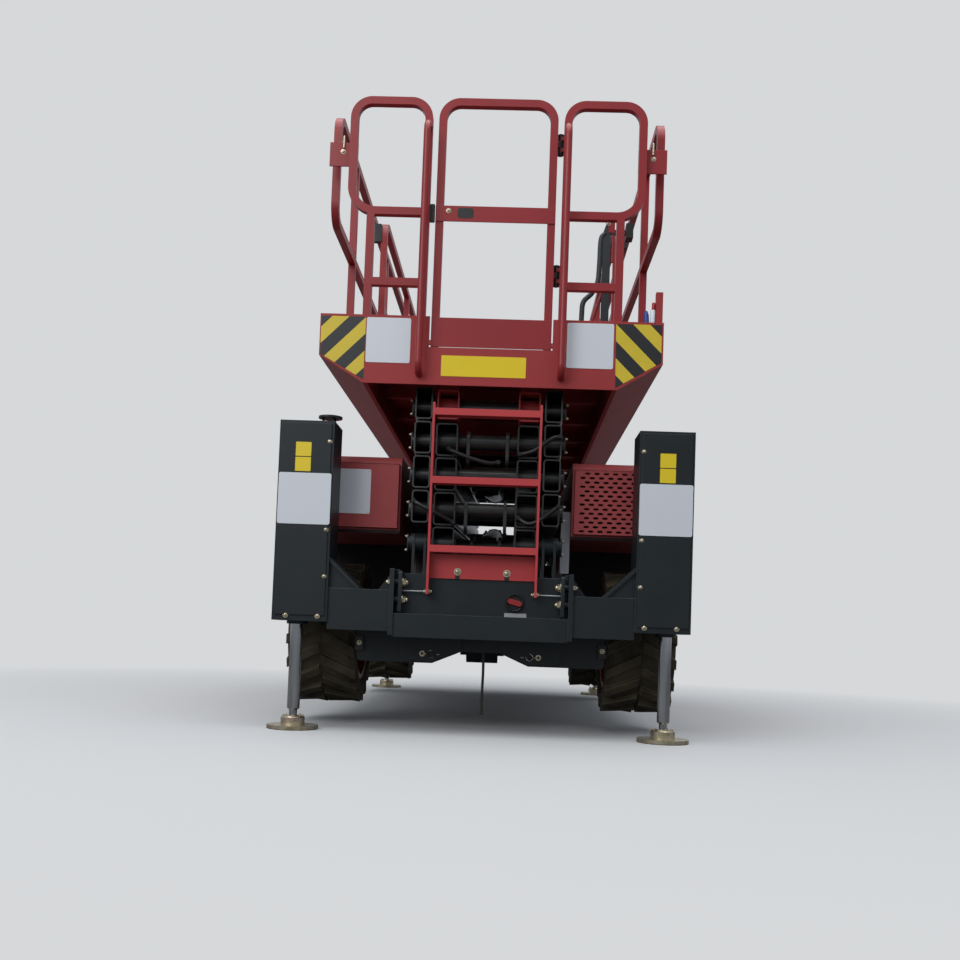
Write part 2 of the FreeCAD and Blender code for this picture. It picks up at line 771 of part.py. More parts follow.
def make_far_axle():
    """The steered axle: forks hold the kingpins, and the knuckles turn between their plates."""
    y = S.far_axle_y
    pieces = axle_core("far_axle", y, S.kingpin_x - 66)
    gap = S.knuckle_height / 2 + S.fork_gap
    outer = gap + S.fork_plate
    x = (S.kingpin_x - 88, S.kingpin_x)
    pieces += both(
        box("fork_back", (S.kingpin_x - 88, S.kingpin_x - 66), (y - 42, y + 42),
            (S.wheel_height - outer, S.wheel_height + outer)),
        box("fork_top", x, (y - 34, y + 34), (S.wheel_height + gap, S.wheel_height + outer)),
        box("fork_bottom", x, (y - 34, y + 34), (S.wheel_height - outer, S.wheel_height - gap)),
        rod("fork_top_eye", "z", (S.kingpin_x, y), 34.0, (S.wheel_height + gap, S.wheel_height + outer)),
        rod("fork_bottom_eye", "z", (S.kingpin_x, y), 34.0, (S.wheel_height - outer, S.wheel_height - gap)),
        rod("kingpin", "z", (S.kingpin_x, y), S.kingpin_radius,
            (S.wheel_height - outer, S.wheel_height + outer)))
    node("axle_far", join("axle_far_whole", pieces))
    for side, side_name in ((LEFT, "left"), (RIGHT, "right")):
        reach = (S.kingpin_x, S.wheel_x - S.hub_inner - 5)
        tip = (S.kingpin_x, S.spindle_end)
        if side == LEFT:
            reach, tip = (-reach[1], -reach[0]), (-tip[1], -tip[0])
        post = rod(f"knuckle_post_{side_name}", "z", (side * S.kingpin_x, y), S.knuckle_radius,
                   (S.wheel_height - S.knuckle_height / 2, S.wheel_height + S.knuckle_height / 2))
        neck = rod(f"knuckle_neck_{side_name}", "x", (y, S.wheel_height), S.axle_radius, reach)
        spindle = rod(f"knuckle_spindle_{side_name}", "x", (y, S.wheel_height), S.spindle_radius, tip)
        bore = rod(f"knuckle_bore_{side_name}", "z", (side * S.kingpin_x, y),
                   S.kingpin_radius + S.sliding_gap * 0.5,
                   (S.wheel_height - S.knuckle_height, S.wheel_height + S.knuckle_height))
        solid = join(f"knuckle_solid_{side_name}", [post, neck, spindle])
        node(f"knuckle_{side_name}", cut(f"knuckle_whole_{side_name}", solid, [bore]))


def make_wheels():
    """Dished rims and tyres with two rows of slanted lugs, alike at all four corners."""
    corners = (("near_left", LEFT, -S.near_axle_y), ("near_right", RIGHT, -S.near_axle_y),
               ("far_left", LEFT, S.far_axle_y), ("far_right", RIGHT, S.far_axle_y))
    for name, side, y in corners:
        spot = (side * S.wheel_x, y, S.wheel_height)
        node(f"tyre_{name}", place(make_tyre(name), spot))
        outward = FreeCAD.Rotation(Z_AXIS, 0 if side == RIGHT else 180)
        node(f"rim_{name}", place(make_rim(name), spot, outward))


def make_tyre(name):
    tyre = body(f"tyre_{name}_body")
    half = S.tyre_width / 2
    tread = S.tyre_radius - S.lug_depth
    bead_side = half - S.rim_inset - S.bead_gap
    right = [(bead_side, S.bead_radius), (bead_side, S.rim_flange + 2), (half - 3, S.rim_flange + 30),
             (half - 6, tread - 20), (half - 40, tread)]
    outline = right + [(-u, v) for u, v in reversed(right)]
    turned(tyre, f"{tyre.Name}_carcass", "xy", outline, "H_Axis")
    for row, slant in (("outer", 1), ("inner", -1)):
        lug = sketch_in(tyre, f"{tyre.Name}_{row}_lug", "xy")
        # The inner row stands half a pitch on, and each lug starts inside the carcass
        step = 0.0 if slant > 0 else 180 / S.lug_count.value
        root = tread - S.lug_seat
        lug.AttachmentOffset = FreeCAD.Placement(FreeCAD.Vector(), FreeCAD.Rotation(X_AXIS, step))
        lift = root * math.cos(math.radians(step))
        shift = root * -math.sin(math.radians(step))
        lug.setExpression("AttachmentOffset.Base.z", lift.text)
        lug.setExpression("AttachmentOffset.Base.y", shift.text)
        wide, thick, skew = S.lug_length, S.lug_thickness / 2, S.lug_skew
        rim_side, crown = half - 6, half - 6 - wide
        draw(lug, [(slant * crown, skew / 2 - thick), (slant * crown, skew / 2 + thick),
                   (slant * rim_side, thick - skew / 2), (slant * rim_side, -thick - skew / 2)])
        pad = tyre.newObject("PartDesign::Pad", f"{tyre.Name}_{row}_pad")
        pad.Profile = lug
        pad.Type = "Length"
        bind(pad, "Length", S.tyre_radius - 4 - root)
        pattern = tyre.newObject("PartDesign::PolarPattern", f"{tyre.Name}_{row}_pattern")
        pattern.Originals = [pad]
        pattern.Axis = (origin_of(tyre, "X_Axis"), [""])
        pattern.Angle = 360
        pattern.Occurrences = int(S.lug_count.value)
        tyre.Tip = pattern
    return tyre


def make_rim(name):
    rim = body(f"rim_{name}_body")
    half = S.tyre_width / 2 - S.rim_inset
    inner = S.rim_radius - S.rim_wall
    disc = (S.disc_offset, S.disc_offset + S.disc_thickness)
    turned(rim, f"{rim.Name}_turned", "xy", [
        (-half, S.rim_radius), (-half, S.rim_flange), (-half - 9, S.rim_flange),
        (-half - 9, inner), (disc[0], inner), (disc[0], S.hub_radius + 40), (disc[0] - 30, S.hub_radius),
        (-S.hub_inner, S.hub_radius), (-S.hub_inner, S.spindle_radius + S.sliding_gap),
        (-10.0, S.spindle_radius + S.sliding_gap), (-10.0, 0.0), (disc[1] + 34, 0.0),
        (disc[1] + 34, S.hub_radius * 0.55), (disc[1] - 16, S.hub_radius * 0.7),
        (disc[1] - 16, S.hub_radius + 8), (disc[1], S.hub_radius + 44), (disc[1], inner),
        (half + 9, inner), (half + 9, S.rim_flange), (half, S.rim_flange), (half, S.rim_radius)],
        "H_Axis")
    return rim


def make_hoods():
    """Sheet covers over the wheels and down between them; the right one covers the engine."""
    def outline(skin):
        end, arch = S.hood_end - skin, S.hood_arch + skin
        near, far = S.hood_belly_near - skin, S.hood_belly_far - skin
        low, top = S.hood_bottom + skin, S.hood_top - skin
        bend = S.hood_corner - skin
        return [(-end, top, bend), (-end, arch), (-near, arch), (-near, low), (far, low),
                (far, arch), (end, arch), (end, top, bend)]
    for side_name in ("left", "right"):
        block = plate(f"hood_block_{side_name}", "yz", outline(0.0), (S.hood_inner, S.hood_outer))
        hollow = plate(f"hood_hollow_{side_name}", "yz", outline(S.hood_wall),
                       (S.hood_inner + S.hood_wall, S.hood_outer - S.hood_wall))
        tools = [hollow]
        if side_name == "right":
            inset = S.grille_margin + 14
            tools.append(box("grille_window", (S.hood_inner + inset, S.hood_outer - inset),
                             (-S.hood_end - 1, -S.hood_end + 2 * S.hood_wall),
                             (S.grille_bottom + 14, S.grille_top - 14)))
        shell = cut(f"hood_shell_{side_name}", block, tools)
        node(f"hood_{side_name}", shell if side_name == "right" else mirrored(shell))
    node("engine_grille", box("grille_plate", (S.hood_inner + S.grille_margin, S.hood_outer - S.grille_margin),
                              (-S.hood_end - S.grille_thickness, -S.hood_end),
                              (S.grille_bottom, S.grille_top)))
    middle = (S.hood_inner + S.hood_outer) / 2
    base = S.hood_bottom + S.hood_wall
    node("engine_block", box("engine", (middle - S.engine_width / 2, middle + S.engine_width / 2),
                             (-S.engine_length / 2, S.engine_length / 2), (base, base + S.engine_height)))


def make_ladder():
    """Two flat stiles, three folded treads and the plate that bolts to the chassis end."""
    y = (-S.end_plate_front - S.stile_depth, -S.end_plate_front)
    pieces = both(box("stile", (S.stile_x, S.stile_x + S.stile_thickness), y,
                      (S.stile_bottom, S.stile_top)))
    sheet_size = S.tread_sheet
    for index in range(3):
        top = S.tread_top - index * S.tread_pitch
        fold = [(y[0], top - S.tread_height), (y[0] + sheet_size, top - S.tread_height),
                (y[0] + sheet_size, top - sheet_size), (y[1] - sheet_size, top - sheet_size),
                (y[1] - sheet_size, top - S.tread_height), (y[1], top - S.tread_height),
                (y[1], top), (y[0], top)]
        pieces.append(plate(f"tread_{index}", "yz", fold, (-S.stile_x, S.stile_x)))
    pieces.append(box("ladder_plate", (-S.stile_x, S.stile_x),
                      (-S.end_plate_front - 2 * sheet_size, -S.end_plate_front),
                      (S.ladder_plate_bottom, S.ladder_plate_top)))
    node("ladder", join("ladder_whole", pieces))


def rectangle(low, high, bottom, top, corner):
    return [(low, bottom, corner), (high, bottom, corner), (high, top, corner), (low, top, corner)]


def arm_tubes(label, low, high):
    """Two rectangular tubes, open at their ends, in one of the linkage's columns."""
    reach = S.arm_length / 2 + S.arm_overhang
    half, wall = S.arm_height / 2, S.arm_wall
    outside = plate(f"{label}_tube", "xz", rectangle(low, high, -half, half, S.arm_corner),
                    (-reach, reach))
    inside = plate(f"{label}_hollow", "xz",
                   rectangle(low + wall, high - wall, wall - half, half - wall, S.arm_corner - wall),
                   (-reach, reach))
    return outside, inside


def make_inner_arms(level):
    """Inner pair, rising to the rear: sleeves at the ends, centre pins, ties and cylinder lugs."""
    label = f"inner_{level}"
    low, high = S.inner_arm_x, S.inner_arm_x + S.inner_arm_width
    tube_solid, hollow = arm_tubes(label, low, high)
    half = S.arm_length / 2
    sleeve = S.cross_tube_diameter / 2 + S.sleeve_rim
    bore = S.cross_tube_diameter / 2 + S.sliding_gap
    centre_pin = S.centre_pin_diameter / 2
    pin_end = S.outer_arm_x + S.outer_arm_width + S.pin_cap
    walls = cut(f"{label}_walls", tube_solid, [hollow])
    parts = [walls]
    bores = []
    for end in (NEAR, FAR):
        spot = (end * half, 0.0)
        parts.append(rod(f"{label}_sleeve_{end + 1}", "x", spot, sleeve, (low, high)))
        if level < LEVELS[-1] or end == NEAR:
            bores.append(rod(f"{label}_bore_{end + 1}", "x", spot, bore, (low - 1, high + 1)))
    bored = cut(f"{label}_bored", join(f"{label}_sleeved", parts), bores)
    pieces = both(bored, rod(f"{label}_centre_pin", "x", (0.0, 0.0), centre_pin, (low + 1, pin_end)))
    # The cylinder's foot is on the arms of odd levels, and its rod ends on the even ones
    way = NEAR if level % 2 else FAR
    anchor = way * S.cylinder_reach
    tie_spot = way * (S.cylinder_reach + S.lug_offset)
    for index, spot in enumerate((tie_spot, -way * S.tie_near_centre)):
        pieces.append(rod(f"{label}_tie_{index}", "x", (spot, 0.0), S.tie_diameter / 2, (-low - 1, low + 1)))
    tail, nose = tie_spot + way * 42.0, anchor - way * 46.0
    ends = (tail, nose) if way == NEAR else (nose, tail)
    lug = plate(f"{label}_lug", "yz",
                rectangle(ends[0], ends[1], -S.lug_height / 2, S.lug_height / 2, 40.0),
                (S.lug_x, S.lug_x + S.lug_plate))
    pieces += both(lug)
    if level % 2:
        reach = S.lug_x + S.lug_plate + 8
        pieces.append(rod(f"{label}_foot_pin", "x", (anchor, 0.0), S.foot_pin_diameter / 2,
                          (-reach, reach)))
    else:
        pieces += both(rod(f"{label}_eye_boss", "x", (anchor, 0.0), S.foot_pin_diameter * 0.7,
                           (S.lug_x + S.lug_plate - 1, S.lug_x + S.lug_plate + 10)))
    if level == LEVELS[-1]:
        pieces += make_roller_axle(label, half)
    whole = join(f"{label}_whole", pieces)
    node(f"arm_inner_{level}", tilt(whole, (0.0, 0.0, centre_height(level)), S.rest_angle))


def centre_height(level):
    return S.pivot_height + (level - 0.5) * S.row_pitch


def make_roller_axle(label, y):
    """A cross tube that carries a roller outside the arms on each side."""
    end = S.track_inner + S.roller_width + S.roller_side_gap / 2
    roller = (end - S.roller_width, end)
    return [rod(f"{label}_roller_axle", "x", (y, 0.0), S.cross_tube_diameter / 2, (-end, end))] + both(
        rod(f"{label}_roller", "x", (y, 0.0), S.roller_diameter / 2, roller))


def make_outer_arms(level):
    """Outer pair, rising to the front: cross tubes at both ends, bored for the centre pins."""
    label = f"outer_{level}"
    low, high = S.outer_arm_x, S.outer_arm_x + S.outer_arm_width
    tube_solid, hollow = arm_tubes(label, low, high)
    half = S.arm_length / 2
    walls = cut(f"{label}_walls", tube_solid, [hollow])
    sleeve = rod(f"{label}_sleeve", "x", (0.0, 0.0), S.centre_pin_diameter / 2 + S.sleeve_rim, (low, high))
    bore = rod(f"{label}_bore", "x", (0.0, 0.0), S.centre_pin_diameter / 2 + S.sliding_gap,
               (low - 1, high + 1))
    pieces = both(cut(f"{label}_bored", join(f"{label}_sleeved", [walls, sleeve]), [bore]))
    cap = high + S.pin_cap
    pieces.append(rod(f"{label}_front_tube", "x", (-half, 0.0), S.cross_tube_diameter / 2, (-cap, cap)))
    if level == LEVELS[0]:
        pieces += make_roller_axle(label, half)
    else:
        pieces.append(rod(f"{label}_rear_tube", "x", (half, 0.0), S.cross_tube_diameter / 2, (-cap, cap)))
    if level % 2:
        width = S.hanger_width / 2
        outline = rectangle(-half - width, -half + width, -S.hanger_below, S.hanger_above, width * 0.8)
        pieces += both(plate(f"{label}_hanger", "yz", outline, (S.hanger_x, S.hanger_x + S.hanger_plate)))
    whole = join(f"{label}_whole", pieces)
    node(f"arm_outer_{level}", tilt(whole, (0.0, 0.0, centre_height(level)), -S.rest_angle))


def make_cylinder(number_of):
    """Barrel and rod of one lift cylinder, closed, lying between two levels of arms."""
    label = f"cylinder_{number_of}"
    level = 2 * number_of - 1
    spot = (0.0, S.foot_y, centre_height(level) - S.foot_drop)
    foot = rod(f"{label}_foot", "x", (0.0, 0.0), S.foot_eye_diameter / 2,
               (-S.foot_eye_width / 2, S.foot_eye_width / 2))
    neck = box(f"{label}_neck", (-S.foot_eye_width * 0.4, S.foot_eye_width * 0.4),
               (0.0, S.barrel_start + 1), (-S.foot_eye_width * 0.4, S.foot_eye_width * 0.4))
    outside = rod(f"{label}_outside", "y", (0.0, 0.0), S.barrel_diameter / 2, (S.barrel_start, S.barrel_end))
    gland = rod(f"{label}_gland", "y", (0.0, 0.0), S.gland_diameter / 2,
                (S.barrel_end - S.gland_length, S.barrel_end))
    hollow = rod(f"{label}_hollow", "y", (0.0, 0.0), S.barrel_bore / 2,
                 (S.barrel_start + S.barrel_cap, S.barrel_end + 1))
    eye = rod(f"{label}_foot_bore", "x", (0.0, 0.0), S.foot_pin_diameter / 2 + S.sliding_gap,
              (-S.foot_eye_width, S.foot_eye_width))
    barrel = cut(f"{label}_barrel", join(f"{label}_barrel_solid", [foot, neck, outside, gland]),
                 [hollow, eye])
    node(f"cylinder_barrel_{number_of}", tilt(barrel, spot, S.cylinder_tilt))
    shaft = rod(f"{label}_shaft", "y", (0.0, 0.0), S.lift_rod_diameter / 2,
                (S.lift_rod_start, S.cylinder_closed - S.rod_eye_diameter / 4))
    rod_eye = rod(f"{label}_rod_eye", "x", (S.cylinder_closed, 0.0), S.rod_eye_diameter / 2,
                  (-S.rod_eye_width / 2, S.rod_eye_width / 2))
    rod_bore = rod(f"{label}_rod_bore", "x", (S.cylinder_closed, 0.0), S.foot_pin_diameter / 2,
                   (-S.rod_eye_width, S.rod_eye_width))
    piston_rod = cut(f"{label}_rod", join(f"{label}_rod_solid", [shaft, rod_eye]), [rod_bore])
    node(f"cylinder_rod_{number_of}", tilt(piston_rod, spot, S.cylinder_tilt))


def make_platform():
    """Folded side members and fascias round a deck on ribs, with the linkage's upper seats."""
    thin = S.sheet
    end = S.platform_end
    top = S.fascia_top
    deck_bottom = S.deck_top - thin
    # The sloping underside joins the outer wall to the inner one
    flange = S.platform_half - S.side_flange
    profile = [(S.platform_half, top), (flange, top), (flange, top - thin),
               (S.platform_half - thin, top - thin), (S.platform_half - thin, S.fascia_shoulder + thin / 2),
               (S.fascia_foot - 2, S.fascia_bottom + thin), (S.side_inner + thin, S.fascia_bottom + thin),
               (S.side_inner + thin, S.deck_top - thin), (S.side_inner, S.deck_top - thin),
               (S.side_inner, S.fascia_bottom), (S.fascia_foot, S.fascia_bottom),
               (S.platform_half, S.fascia_shoulder)]
    pieces = both(plate("side_member", "xz", profile, (-end + thin, end - thin)))
    pieces.append(plate("fascia_near", "xz", fascia_outline(S.gate_half + S.gate_gap, S.kick_bottom - 5),
                        (-end, thin - end)))
    pieces.append(plate("fascia_far", "xz", fascia_outline(S.slide_x + S.gate_gap, S.deck_top),
                        (end - thin, end)))
    pieces.append(box("deck", (thin - S.platform_half, S.platform_half - thin), (thin - end, end - thin),
                      (deck_bottom, S.deck_top)))
    for step in range(-3, 4):
        y = step * S.rib_pitch
        pieces.append(box(f"rib_{step + 3}", (-S.side_inner, S.side_inner),
                          (y - S.rib_width / 2, y + S.rib_width / 2),
                          (deck_bottom - S.rib_height, deck_bottom)))
    pieces += make_platform_seats(deck_bottom)
    # The roll-out deck rides on two strips
    pieces += both(box("deck_runner", (S.runner_inner, S.runner_outer), (-S.slide_front, end - 2 * thin),
                       (S.deck_top, S.deck_top + S.deck_gap - S.runner_gap)))
    corner = (S.platform_half - 36, S.platform_half - 6)
    pieces.append(box("socket_post", corner, (thin - end, 38 - end),
                      (top, top + S.socket_post_height)))
    node("platform_frame", join("platform_whole", pieces))


def fascia_outline(notch, notch_bottom):
    """An end panel, open at its top for the gate or the sliding deck."""
    right = [(S.platform_half, S.fascia_top), (S.platform_half, S.fascia_shoulder),
             (S.fascia_foot, S.fascia_bottom)]
    left = [(-u, v) for u, v in reversed(right)]
    return right + left + [(-notch, S.fascia_top), (-notch, notch_bottom), (notch, notch_bottom),
                           (notch, S.fascia_top)]


def make_platform_seats(deck_bottom):
    """Front stubs that the top pins pass through, and rear channels for the top rollers."""
    low, high = S.inner_arm_x, S.inner_arm_x + S.inner_arm_width
    half, wall = S.stub_height / 2, S.arm_wall
    height = S.top_height
    y = (S.pin_y - S.arm_overhang, S.pin_y - S.arm_overhang + S.stub_length)
    outside = plate("stub_tube", "xz", rectangle(low, high, height - half, height + half, S.arm_corner), y)
    inside = plate("stub_hollow", "xz",
                   rectangle(low + wall, high - wall, height - half + wall, height + half - wall,
                             S.arm_corner - wall), y)
    sleeve = rod("stub_sleeve", "x", (S.pin_y, height), S.cross_tube_diameter / 2 + S.sleeve_rim,
                 (low, high))
    bore = rod("stub_bore", "x", (S.pin_y, height), S.cross_tube_diameter / 2 + S.sliding_gap,
               (low - 1, high + 1))
    stub = cut("stub", join("stub_sleeved", [cut("stub_walls", outside, [inside]), sleeve]), [bore])
    hanger = box("stub_hanger", (low + 10, high - 10), (y[0] + 30, y[1] - 30),
                 (height + half - 2, deck_bottom))
    pieces = both(stub, hanger)
    pieces += make_track("platform_track", height)
    reach = S.roller_diameter / 2 + S.roller_gap
    outer = S.track_inner + S.roller_width + S.roller_side_gap + S.track_plate
    pieces += both(box("track_web", (outer - S.track_plate, outer), (S.track_start, S.track_end),
                       (height + reach, deck_bottom)))
    return pieces


def make_front_rails():
    """Two bent loops beside the gate, with their legs, hinge pins and side latches."""
    half = S.rail_tube / 2
    inner, outer = S.loop_inner + half, S.loop_outer - half
    high, mid = S.loop_top - half, S.rail_mid - half
    y = -S.loop_y
    stub = inner + 1.5 * S.rail_tube
    loop = tube("loop", "xz", y, [(inner, S.deck_top), (inner, high, S.rail_bend),
                                  (outer, high, S.rail_bend), (outer, mid, S.low_bend), (stub, mid)],
                S.rail_tube)
    loop_end = box("loop_end", (inner, stub), (y - half, y + half), (mid - half, mid + half))
    leg = box("loop_leg_post", (S.loop_leg - half, S.loop_leg + half), (y - half, y + half),
              (S.fascia_top, mid))
    low_rail = box("loop_low", (inner, S.loop_leg), (y - half, y + half),
                   (S.loop_low_rail - half, S.loop_low_rail + half))
    back = y + half
    latch = box("latch_plate", (S.loop_outer - S.rail_tube, S.side_rail_x + half), (back - 1, back + 6),
                (S.latch_height - 55, S.latch_height + 55))
    latch_pin = rod("latch_pin", "y", (S.side_rail_x, S.latch_height), 9.0,
                    (back, -S.side_rail_front - half))
    pieces = both(loop, loop_end, leg, low_rail, latch, latch_pin)
    x = hinge_x()
    for index, z in enumerate((S.hinge_low, S.hinge_high)):
        pieces.append(rod(f"gate_pin_{index}", "z", (x, -S.hinge_y), S.hinge_pin_radius,
                          (z - S.hinge_length / 2, z + S.hinge_length / 2)))
        for part, ends in enumerate(((0.5, 0.25), (-0.25, -0.5))):
            top, bottom = z + ends[0] * S.hinge_length, z + ends[1] * S.hinge_length
            pieces.append(rod(f"hinge_knuckle_{index}_{part}", "z", (x, -S.hinge_y), S.hinge_radius,
                              (bottom, top)))
            pieces.append(box(f"hinge_leaf_{index}_{part}", (x, S.loop_inner + 12),
                              (back - 4, 4 - S.hinge_y), (bottom, top)))
    node("front_rails", join("front_rails_whole", pieces))


def hinge_x():
    return (S.gate_half + S.loop_inner) / 2


def make_side_rails():
    """Hairpin rails along both sides of the platform, on posts from the side members."""
    half = S.rail_tube / 2
    high, mid = S.rail_top - half, S.rail_mid - half
    rear = S.side_rail_rear
    bent = tube("hairpin", "yz", S.side_rail_x,
                [(rear, high), (-S.side_rail_front, high, S.rail_bend),
                 (-S.side_rail_front, mid, S.rail_bend), (rear, mid)], S.rail_tube)
    x = (S.side_rail_x - half, S.side_rail_x + half)
    posts = [box(f"rail_post_{index}", x, (y - half, y + half), (S.fascia_top, top))
             for index, (y, top) in enumerate(((-0.67 * S.side_rail_front, high), (0.12 * rear, high),
                                               (rear - half, high + half)))]
    whole = join("side_rail", [bent] + posts)
    node("side_rail_right", whole)
    node("side_rail_left", mirrored(whole))


def make_grab_handles():
    """Round bars bowed forward from the loops down to the fascia."""
    half = S.rail_tube / 2
    x = S.loop_inner + half
    start = -S.loop_y - half
    bar = tube("grab_bar", "yz", x, [(start, S.grab_top), (-S.grab_front, S.grab_top, S.grab_bend),
                                     (-S.grab_front, S.grab_bottom, S.grab_bend * 0.8),
                                     (-S.platform_end, S.grab_bottom)], S.grab_diameter, square=False)
    node("grab_handle_right", bar)
    node("grab_handle_left", mirrored(bar))


def make_gate():
    """The entry gate: a bent frame with a kick plate and a flat bar, hinged on its right."""
    half = S.rail_tube / 2
    leg, high = S.gate_half - half, S.loop_top - half
    y = -S.loop_y
    frame = tube("gate_tube", "xz", y, [(-leg, S.kick_bottom), (-leg, high, S.rail_bend),
                                        (leg, high, S.rail_bend), (leg, S.kick_bottom)], S.rail_tube)
    face = (y - half - S.gate_plate, y - half)
    kick = box("kick_plate", (-S.gate_half, S.gate_half), face, (S.kick_bottom, S.fascia_top - 2))
    bar = box("gate_bar", (-S.gate_half, S.gate_half), face, (S.gate_bar_bottom, S.gate_bar_top))
    pieces = [frame, kick, bar]
    x = hinge_x()
    holes = []
    for index, z in enumerate((S.hinge_low, S.hinge_high)):
        ends = (z - S.hinge_length * 0.22, z + S.hinge_length * 0.22)
        pieces.append(rod(f"gate_knuckle_{index}", "z", (x, -S.hinge_y), S.hinge_radius, ends))
        pieces.append(box(f"gate_leaf_{index}", (S.gate_half - 12, x), (y + half - 4, 4 - S.hinge_y), ends))
        holes.append(rod(f"gate_hole_{index}", "z", (x, -S.hinge_y), S.hinge_pin_radius + 0.5,
                         (ends[0] - 1, ends[1] + 1)))
    node("gate", cut("gate_whole", join("gate_solid", pieces), holes))


def make_roll_out_deck():
    """The inner deck with its toe boards and rails, which slides out over the far end."""
    base = S.deck_top + S.deck_gap
    y = (-S.slide_front, S.slide_rear)
    pieces = [box("slide_sheet", (-S.slide_x, S.slide_x), y, (base, base + S.sheet))]
    pieces += both(box("slide_toe_side", (S.slide_x - S.sheet, S.slide_x), y, (base, base + S.slide_toe)))
    pieces.append(box("slide_toe_end", (-S.slide_x, S.slide_x), (y[1] - S.sheet, y[1]),
                      (base, base + S.slide_toe)))
    half = S.rail_tube / 2
    high, mid = S.slide_rail_top - half, S.slide_rail_mid - half
    x = S.slide_rail_x - half
    rear = S.slide_rear - half - S.sheet
    rails = [tube("slide_hairpin", "yz", x,
                  [(rear, high), (half - S.slide_front, high, S.rail_bend),
                   (half - S.slide_front, base + S.sheet)], S.rail_tube),
             box("slide_mid", (x - half, x + half), (half - S.slide_front, rear), (mid - half, mid + half)),
             box("slide_post", (x - half, x + half), (rear * 0.35 - half, rear * 0.35 + half),
                 (base + S.sheet, high))]
    pieces += both(*rails)
    pieces.append(tube("slide_end", "xz", rear, [(-x, base + S.sheet), (-x, high, S.rail_bend / 2),
                                                 (x, high, S.rail_bend / 2), (x, base + S.sheet)],
                       S.rail_tube))
    pieces.append(box("slide_end_mid", (-x, x), (rear - half, rear + half), (mid - half, mid + half)))
    node("roll_out_deck", join("slide_whole", pieces))


def make_small_parts():
    """The control stand, the battery isolator and the earth strap."""
    x, y = S.control_x, -S.control_y
    post = box("control_post", (x - 8, x + 8), (y - 30, y + 30), (S.deck_top, S.control_top))
    head = box("control_head", (x - 60, x + 60), (y - 70, y + 50), (S.control_top - 110, S.control_top + 30))
    foot = box("control_foot", (x - 50, x + 50), (y - 60, y + 60), (S.deck_top, S.deck_top + 8))
    node("control_stand", join("control_whole", [post, head, foot]))
    front = -S.end_plate_front
    dial = rod("isolator_dial", "y", (S.isolator_x, S.isolator_height), S.isolator_radius,
               (front - 12, front))
    knob = rod("isolator_knob", "y", (S.isolator_x, S.isolator_height), 12.0, (front - 26, front - 11))
    handle = box("isolator_handle", (S.isolator_x - 9, S.isolator_x + 9), (front - 40, front - 24),
                 (S.isolator_height - 34, S.isolator_height + 34))
    node("battery_isolator", join("isolator_whole", [dial, knob, handle]))
    strap_y = (S.skid_thickness / 2) - S.skid_front
    node("earth_strap", rod("strap", "z", (S.strap_x, strap_y), S.strap_width / 2,
                            (S.strap_bottom, S.skid_bottom + S.skid_rise - S.bead_gap)))


# Shared places, worked out from the sizes above
S.pin_y = -S.pin_span / 2
S.outer_arm_x = S.inner_arm_x + S.inner_arm_width + S.column_gap
S.track_inner = S.outer_arm_x + S.outer_arm_width + S.track_clearance
S.top_height = S.pivot_height + len(LEVELS) * S.row_pitch

make_chassis()
make_outriggers()
make_jack_legs()
make_near_axle()
make_far_axle()
make_wheels()
make_hoods()
make_ladder()
for level_number in LEVELS:
    make_inner_arms(level_number)
    make_outer_arms(level_number)
for cylinder_number in (1, 2):
    make_cylinder(cylinder_number)
make_platform()
make_front_rails()
make_side_rails()
make_grab_handles()
make_gate()
make_roll_out_deck()
make_small_parts()
doc.recompute()

failed = [item.Name for item in doc.Objects if {"Invalid", "Error"} & set(item.State)]
for item in nodes:
    if item.Shape.isNull() or not item.Shape.isValid():
        failed.append(item.Label)
if failed:
    raise RuntimeError("Failed: " + ", ".join(failed))
os.makedirs("parts", exist_ok=True)
for item in nodes:
    item.Shape.exportStep(f"parts/{item.Label}.step")
    print(f"{item.Label:24s} solids {len(item.Shape.Solids)} volume {item.Shape.Volume / 1e9:.5f} m3")
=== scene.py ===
# %% [markdown]
# # A rough-terrain scissor lift on its four jacks
# A scissor lift raises a platform on a stack of crossed arms. This one is stowed: the arms lie
# flat, the wheels hang just off the ground and four hydraulic jacks carry the machine. The
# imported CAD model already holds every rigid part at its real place. This lesson adds what the
# CAD leaves out: the camera, the finishes, and the small pieces such as bolts, plates, hoses
# and stripes. Everything is in metres, with X across, Y along the machine and Z up.

# %% Load the frame
import math

import bmesh
import bpy
import numpy as np
from mathutils import Matrix, Vector


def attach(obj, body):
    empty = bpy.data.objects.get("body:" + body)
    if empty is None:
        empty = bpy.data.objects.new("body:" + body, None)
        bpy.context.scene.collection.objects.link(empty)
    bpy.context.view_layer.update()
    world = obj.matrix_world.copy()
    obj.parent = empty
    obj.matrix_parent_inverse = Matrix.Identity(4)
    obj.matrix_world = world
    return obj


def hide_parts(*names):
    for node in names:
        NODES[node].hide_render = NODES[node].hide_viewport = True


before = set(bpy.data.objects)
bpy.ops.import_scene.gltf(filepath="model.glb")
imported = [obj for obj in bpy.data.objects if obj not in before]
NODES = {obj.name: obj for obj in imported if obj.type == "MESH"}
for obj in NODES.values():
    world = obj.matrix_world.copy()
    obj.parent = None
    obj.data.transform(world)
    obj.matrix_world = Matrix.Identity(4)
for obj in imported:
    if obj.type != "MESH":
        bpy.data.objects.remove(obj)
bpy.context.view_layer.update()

# %% [markdown]
# ## The camera
# The photo was taken from knee height in front of the ladder, with the camera almost level and
# the picture's middle raised, as a phone does when a tall photo is cropped. A tilted camera
# would make the jack boxes lean together, and they stand parallel. So the camera is level to
# within a few degrees and a lens shift brings the platform into view. Eye, angles and focal
# length come from a fit of about fifty known points of the machine to the photo.

